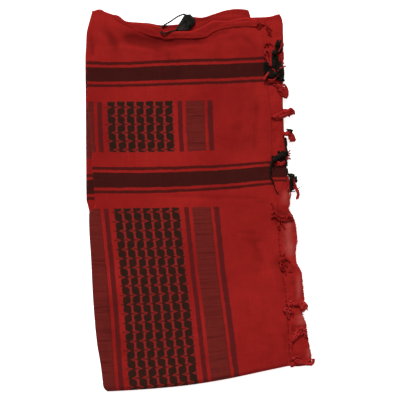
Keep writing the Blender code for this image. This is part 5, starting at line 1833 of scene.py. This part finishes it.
def makeFoldedTassel():
    table = foldedTassel
    shape = newYarn("foldedTassel")
    rng = random.Random(table["seed"])
    crown = np.array(table["crown"])
    lower = table["lower"]
    start, spread = table["bulge"]
    for k in range(table["threads"]):
        share = k / (table["threads"] - 1.0)
        foot = alongLine(table["foot"], share)
        middle = alongLine(table["middle"], share)
        arc = share * 2.0
        top = alongLine(crown[:2], arc) if arc < 1.0 else alongLine(crown[1:], arc - 1.0)
        bulge = math.sin(math.pi * (start + spread * share))
        jitter = rng.uniform(-table["jitter"], table["jitter"])
        stations = np.array((foot, 0.5 * (foot + middle), middle, 0.45 * middle + 0.55 * top, top,
                             0.5 * (middle + top), middle, foot))
        stations[:, 0] += np.array(table["sway"]) * jitter * 3.0
        upper = lower + (table["upper"] - lower) * bulge + jitter * 0.5
        heights = (upper - 0.6, upper, upper + 0.2, upper, 0.5 * (upper + lower), lower, lower, lower)
        path = evenPath(planPoints(stations), heights, 0.4)
        addThread(shape, path, table["radius"] * rng.uniform(0.8, 1.05), rng.uniform(0.0, 6.0))
    addThread(shape, evenPath(planPoints(table["loose"]), table["looseHeights"], 0.0), table["looseRadius"])
    finishYarn(shape, tasselYarn, "black_yarn", "folded_tassel")


makeFoldedTassel()
print("folded tassel laid")


# The floor, the light and the camera

studio = {
    "floorSize": 6.0,
    "floorDrop": 0.0004,
    "floorColor": (0.93, 0.93, 0.925),
    "floorGlow": 0.7,
    "skyStrength": 0.30,
    "keyStrength": 4.0,
    "keyAngle": 20.0,
    "keyPlace": (-0.30, 1.55, 1.08),
    "fillEnergy": 7.0,
    "fillSize": 1.6,
    "fillPlace": (0.4, -1.7, 1.3),
}


def makeStudio():
    bpy.ops.mesh.primitive_plane_add(size=studio["floorSize"], location=(0.0, 0.0, -studio["floorDrop"]))
    floor = bpy.context.object
    floor.name = "floor"
    paper, tree, shader = newMaterial("paper", 0.95, 0.1)
    shader.inputs["Base Color"].default_value = (*studio["floorColor"], 1.0)
    shader.inputs["Emission Color"].default_value = (1.0, 1.0, 1.0, 1.0)
    shader.inputs["Emission Strength"].default_value = studio["floorGlow"]
    floor.data.materials.append(paper)
    world = bpy.data.worlds.new("studio")
    world.use_nodes = True
    sky = world.node_tree.nodes["Background"]
    sky.inputs["Color"].default_value = (1.0, 1.0, 1.0, 1.0)
    sky.inputs["Strength"].default_value = studio["skyStrength"]
    bpy.context.scene.world = world
    key = bpy.data.lights.new("key", "SUN")
    key.energy = studio["keyStrength"]
    key.angle = math.radians(studio["keyAngle"])
    fill = bpy.data.lights.new("fill", "AREA")
    fill.energy = studio["fillEnergy"]
    fill.size = studio["fillSize"]
    for lamp, place in ((key, studio["keyPlace"]), (fill, studio["fillPlace"])):
        light = bpy.data.objects.new(lamp.name, lamp)
        bpy.context.scene.collection.objects.link(light)
        light.location = place
        light.rotation_euler = (-Vector(place)).to_track_quat("-Z", "Y").to_euler()
    eye = bpy.data.cameras.new("camera")
    eye.sensor_width = camera["sensor"]
    eye.lens = camera["sensor"] * (camera["height"] - camera["referenceHeight"]) / camera["pictureWidth"]
    eye.clip_end = camera["farClip"]
    view = bpy.data.objects.new("camera", eye)
    bpy.context.scene.collection.objects.link(view)
    view.location = ((camera["aim"][0] - outlineMiddle[0]) * mm, (camera["aim"][1] - outlineMiddle[1]) * mm,
                     camera["height"] * mm)
    bpy.context.scene.camera = view
    bpy.context.scene.view_settings.view_transform = "Standard"


makeStudio()
print("studio set")
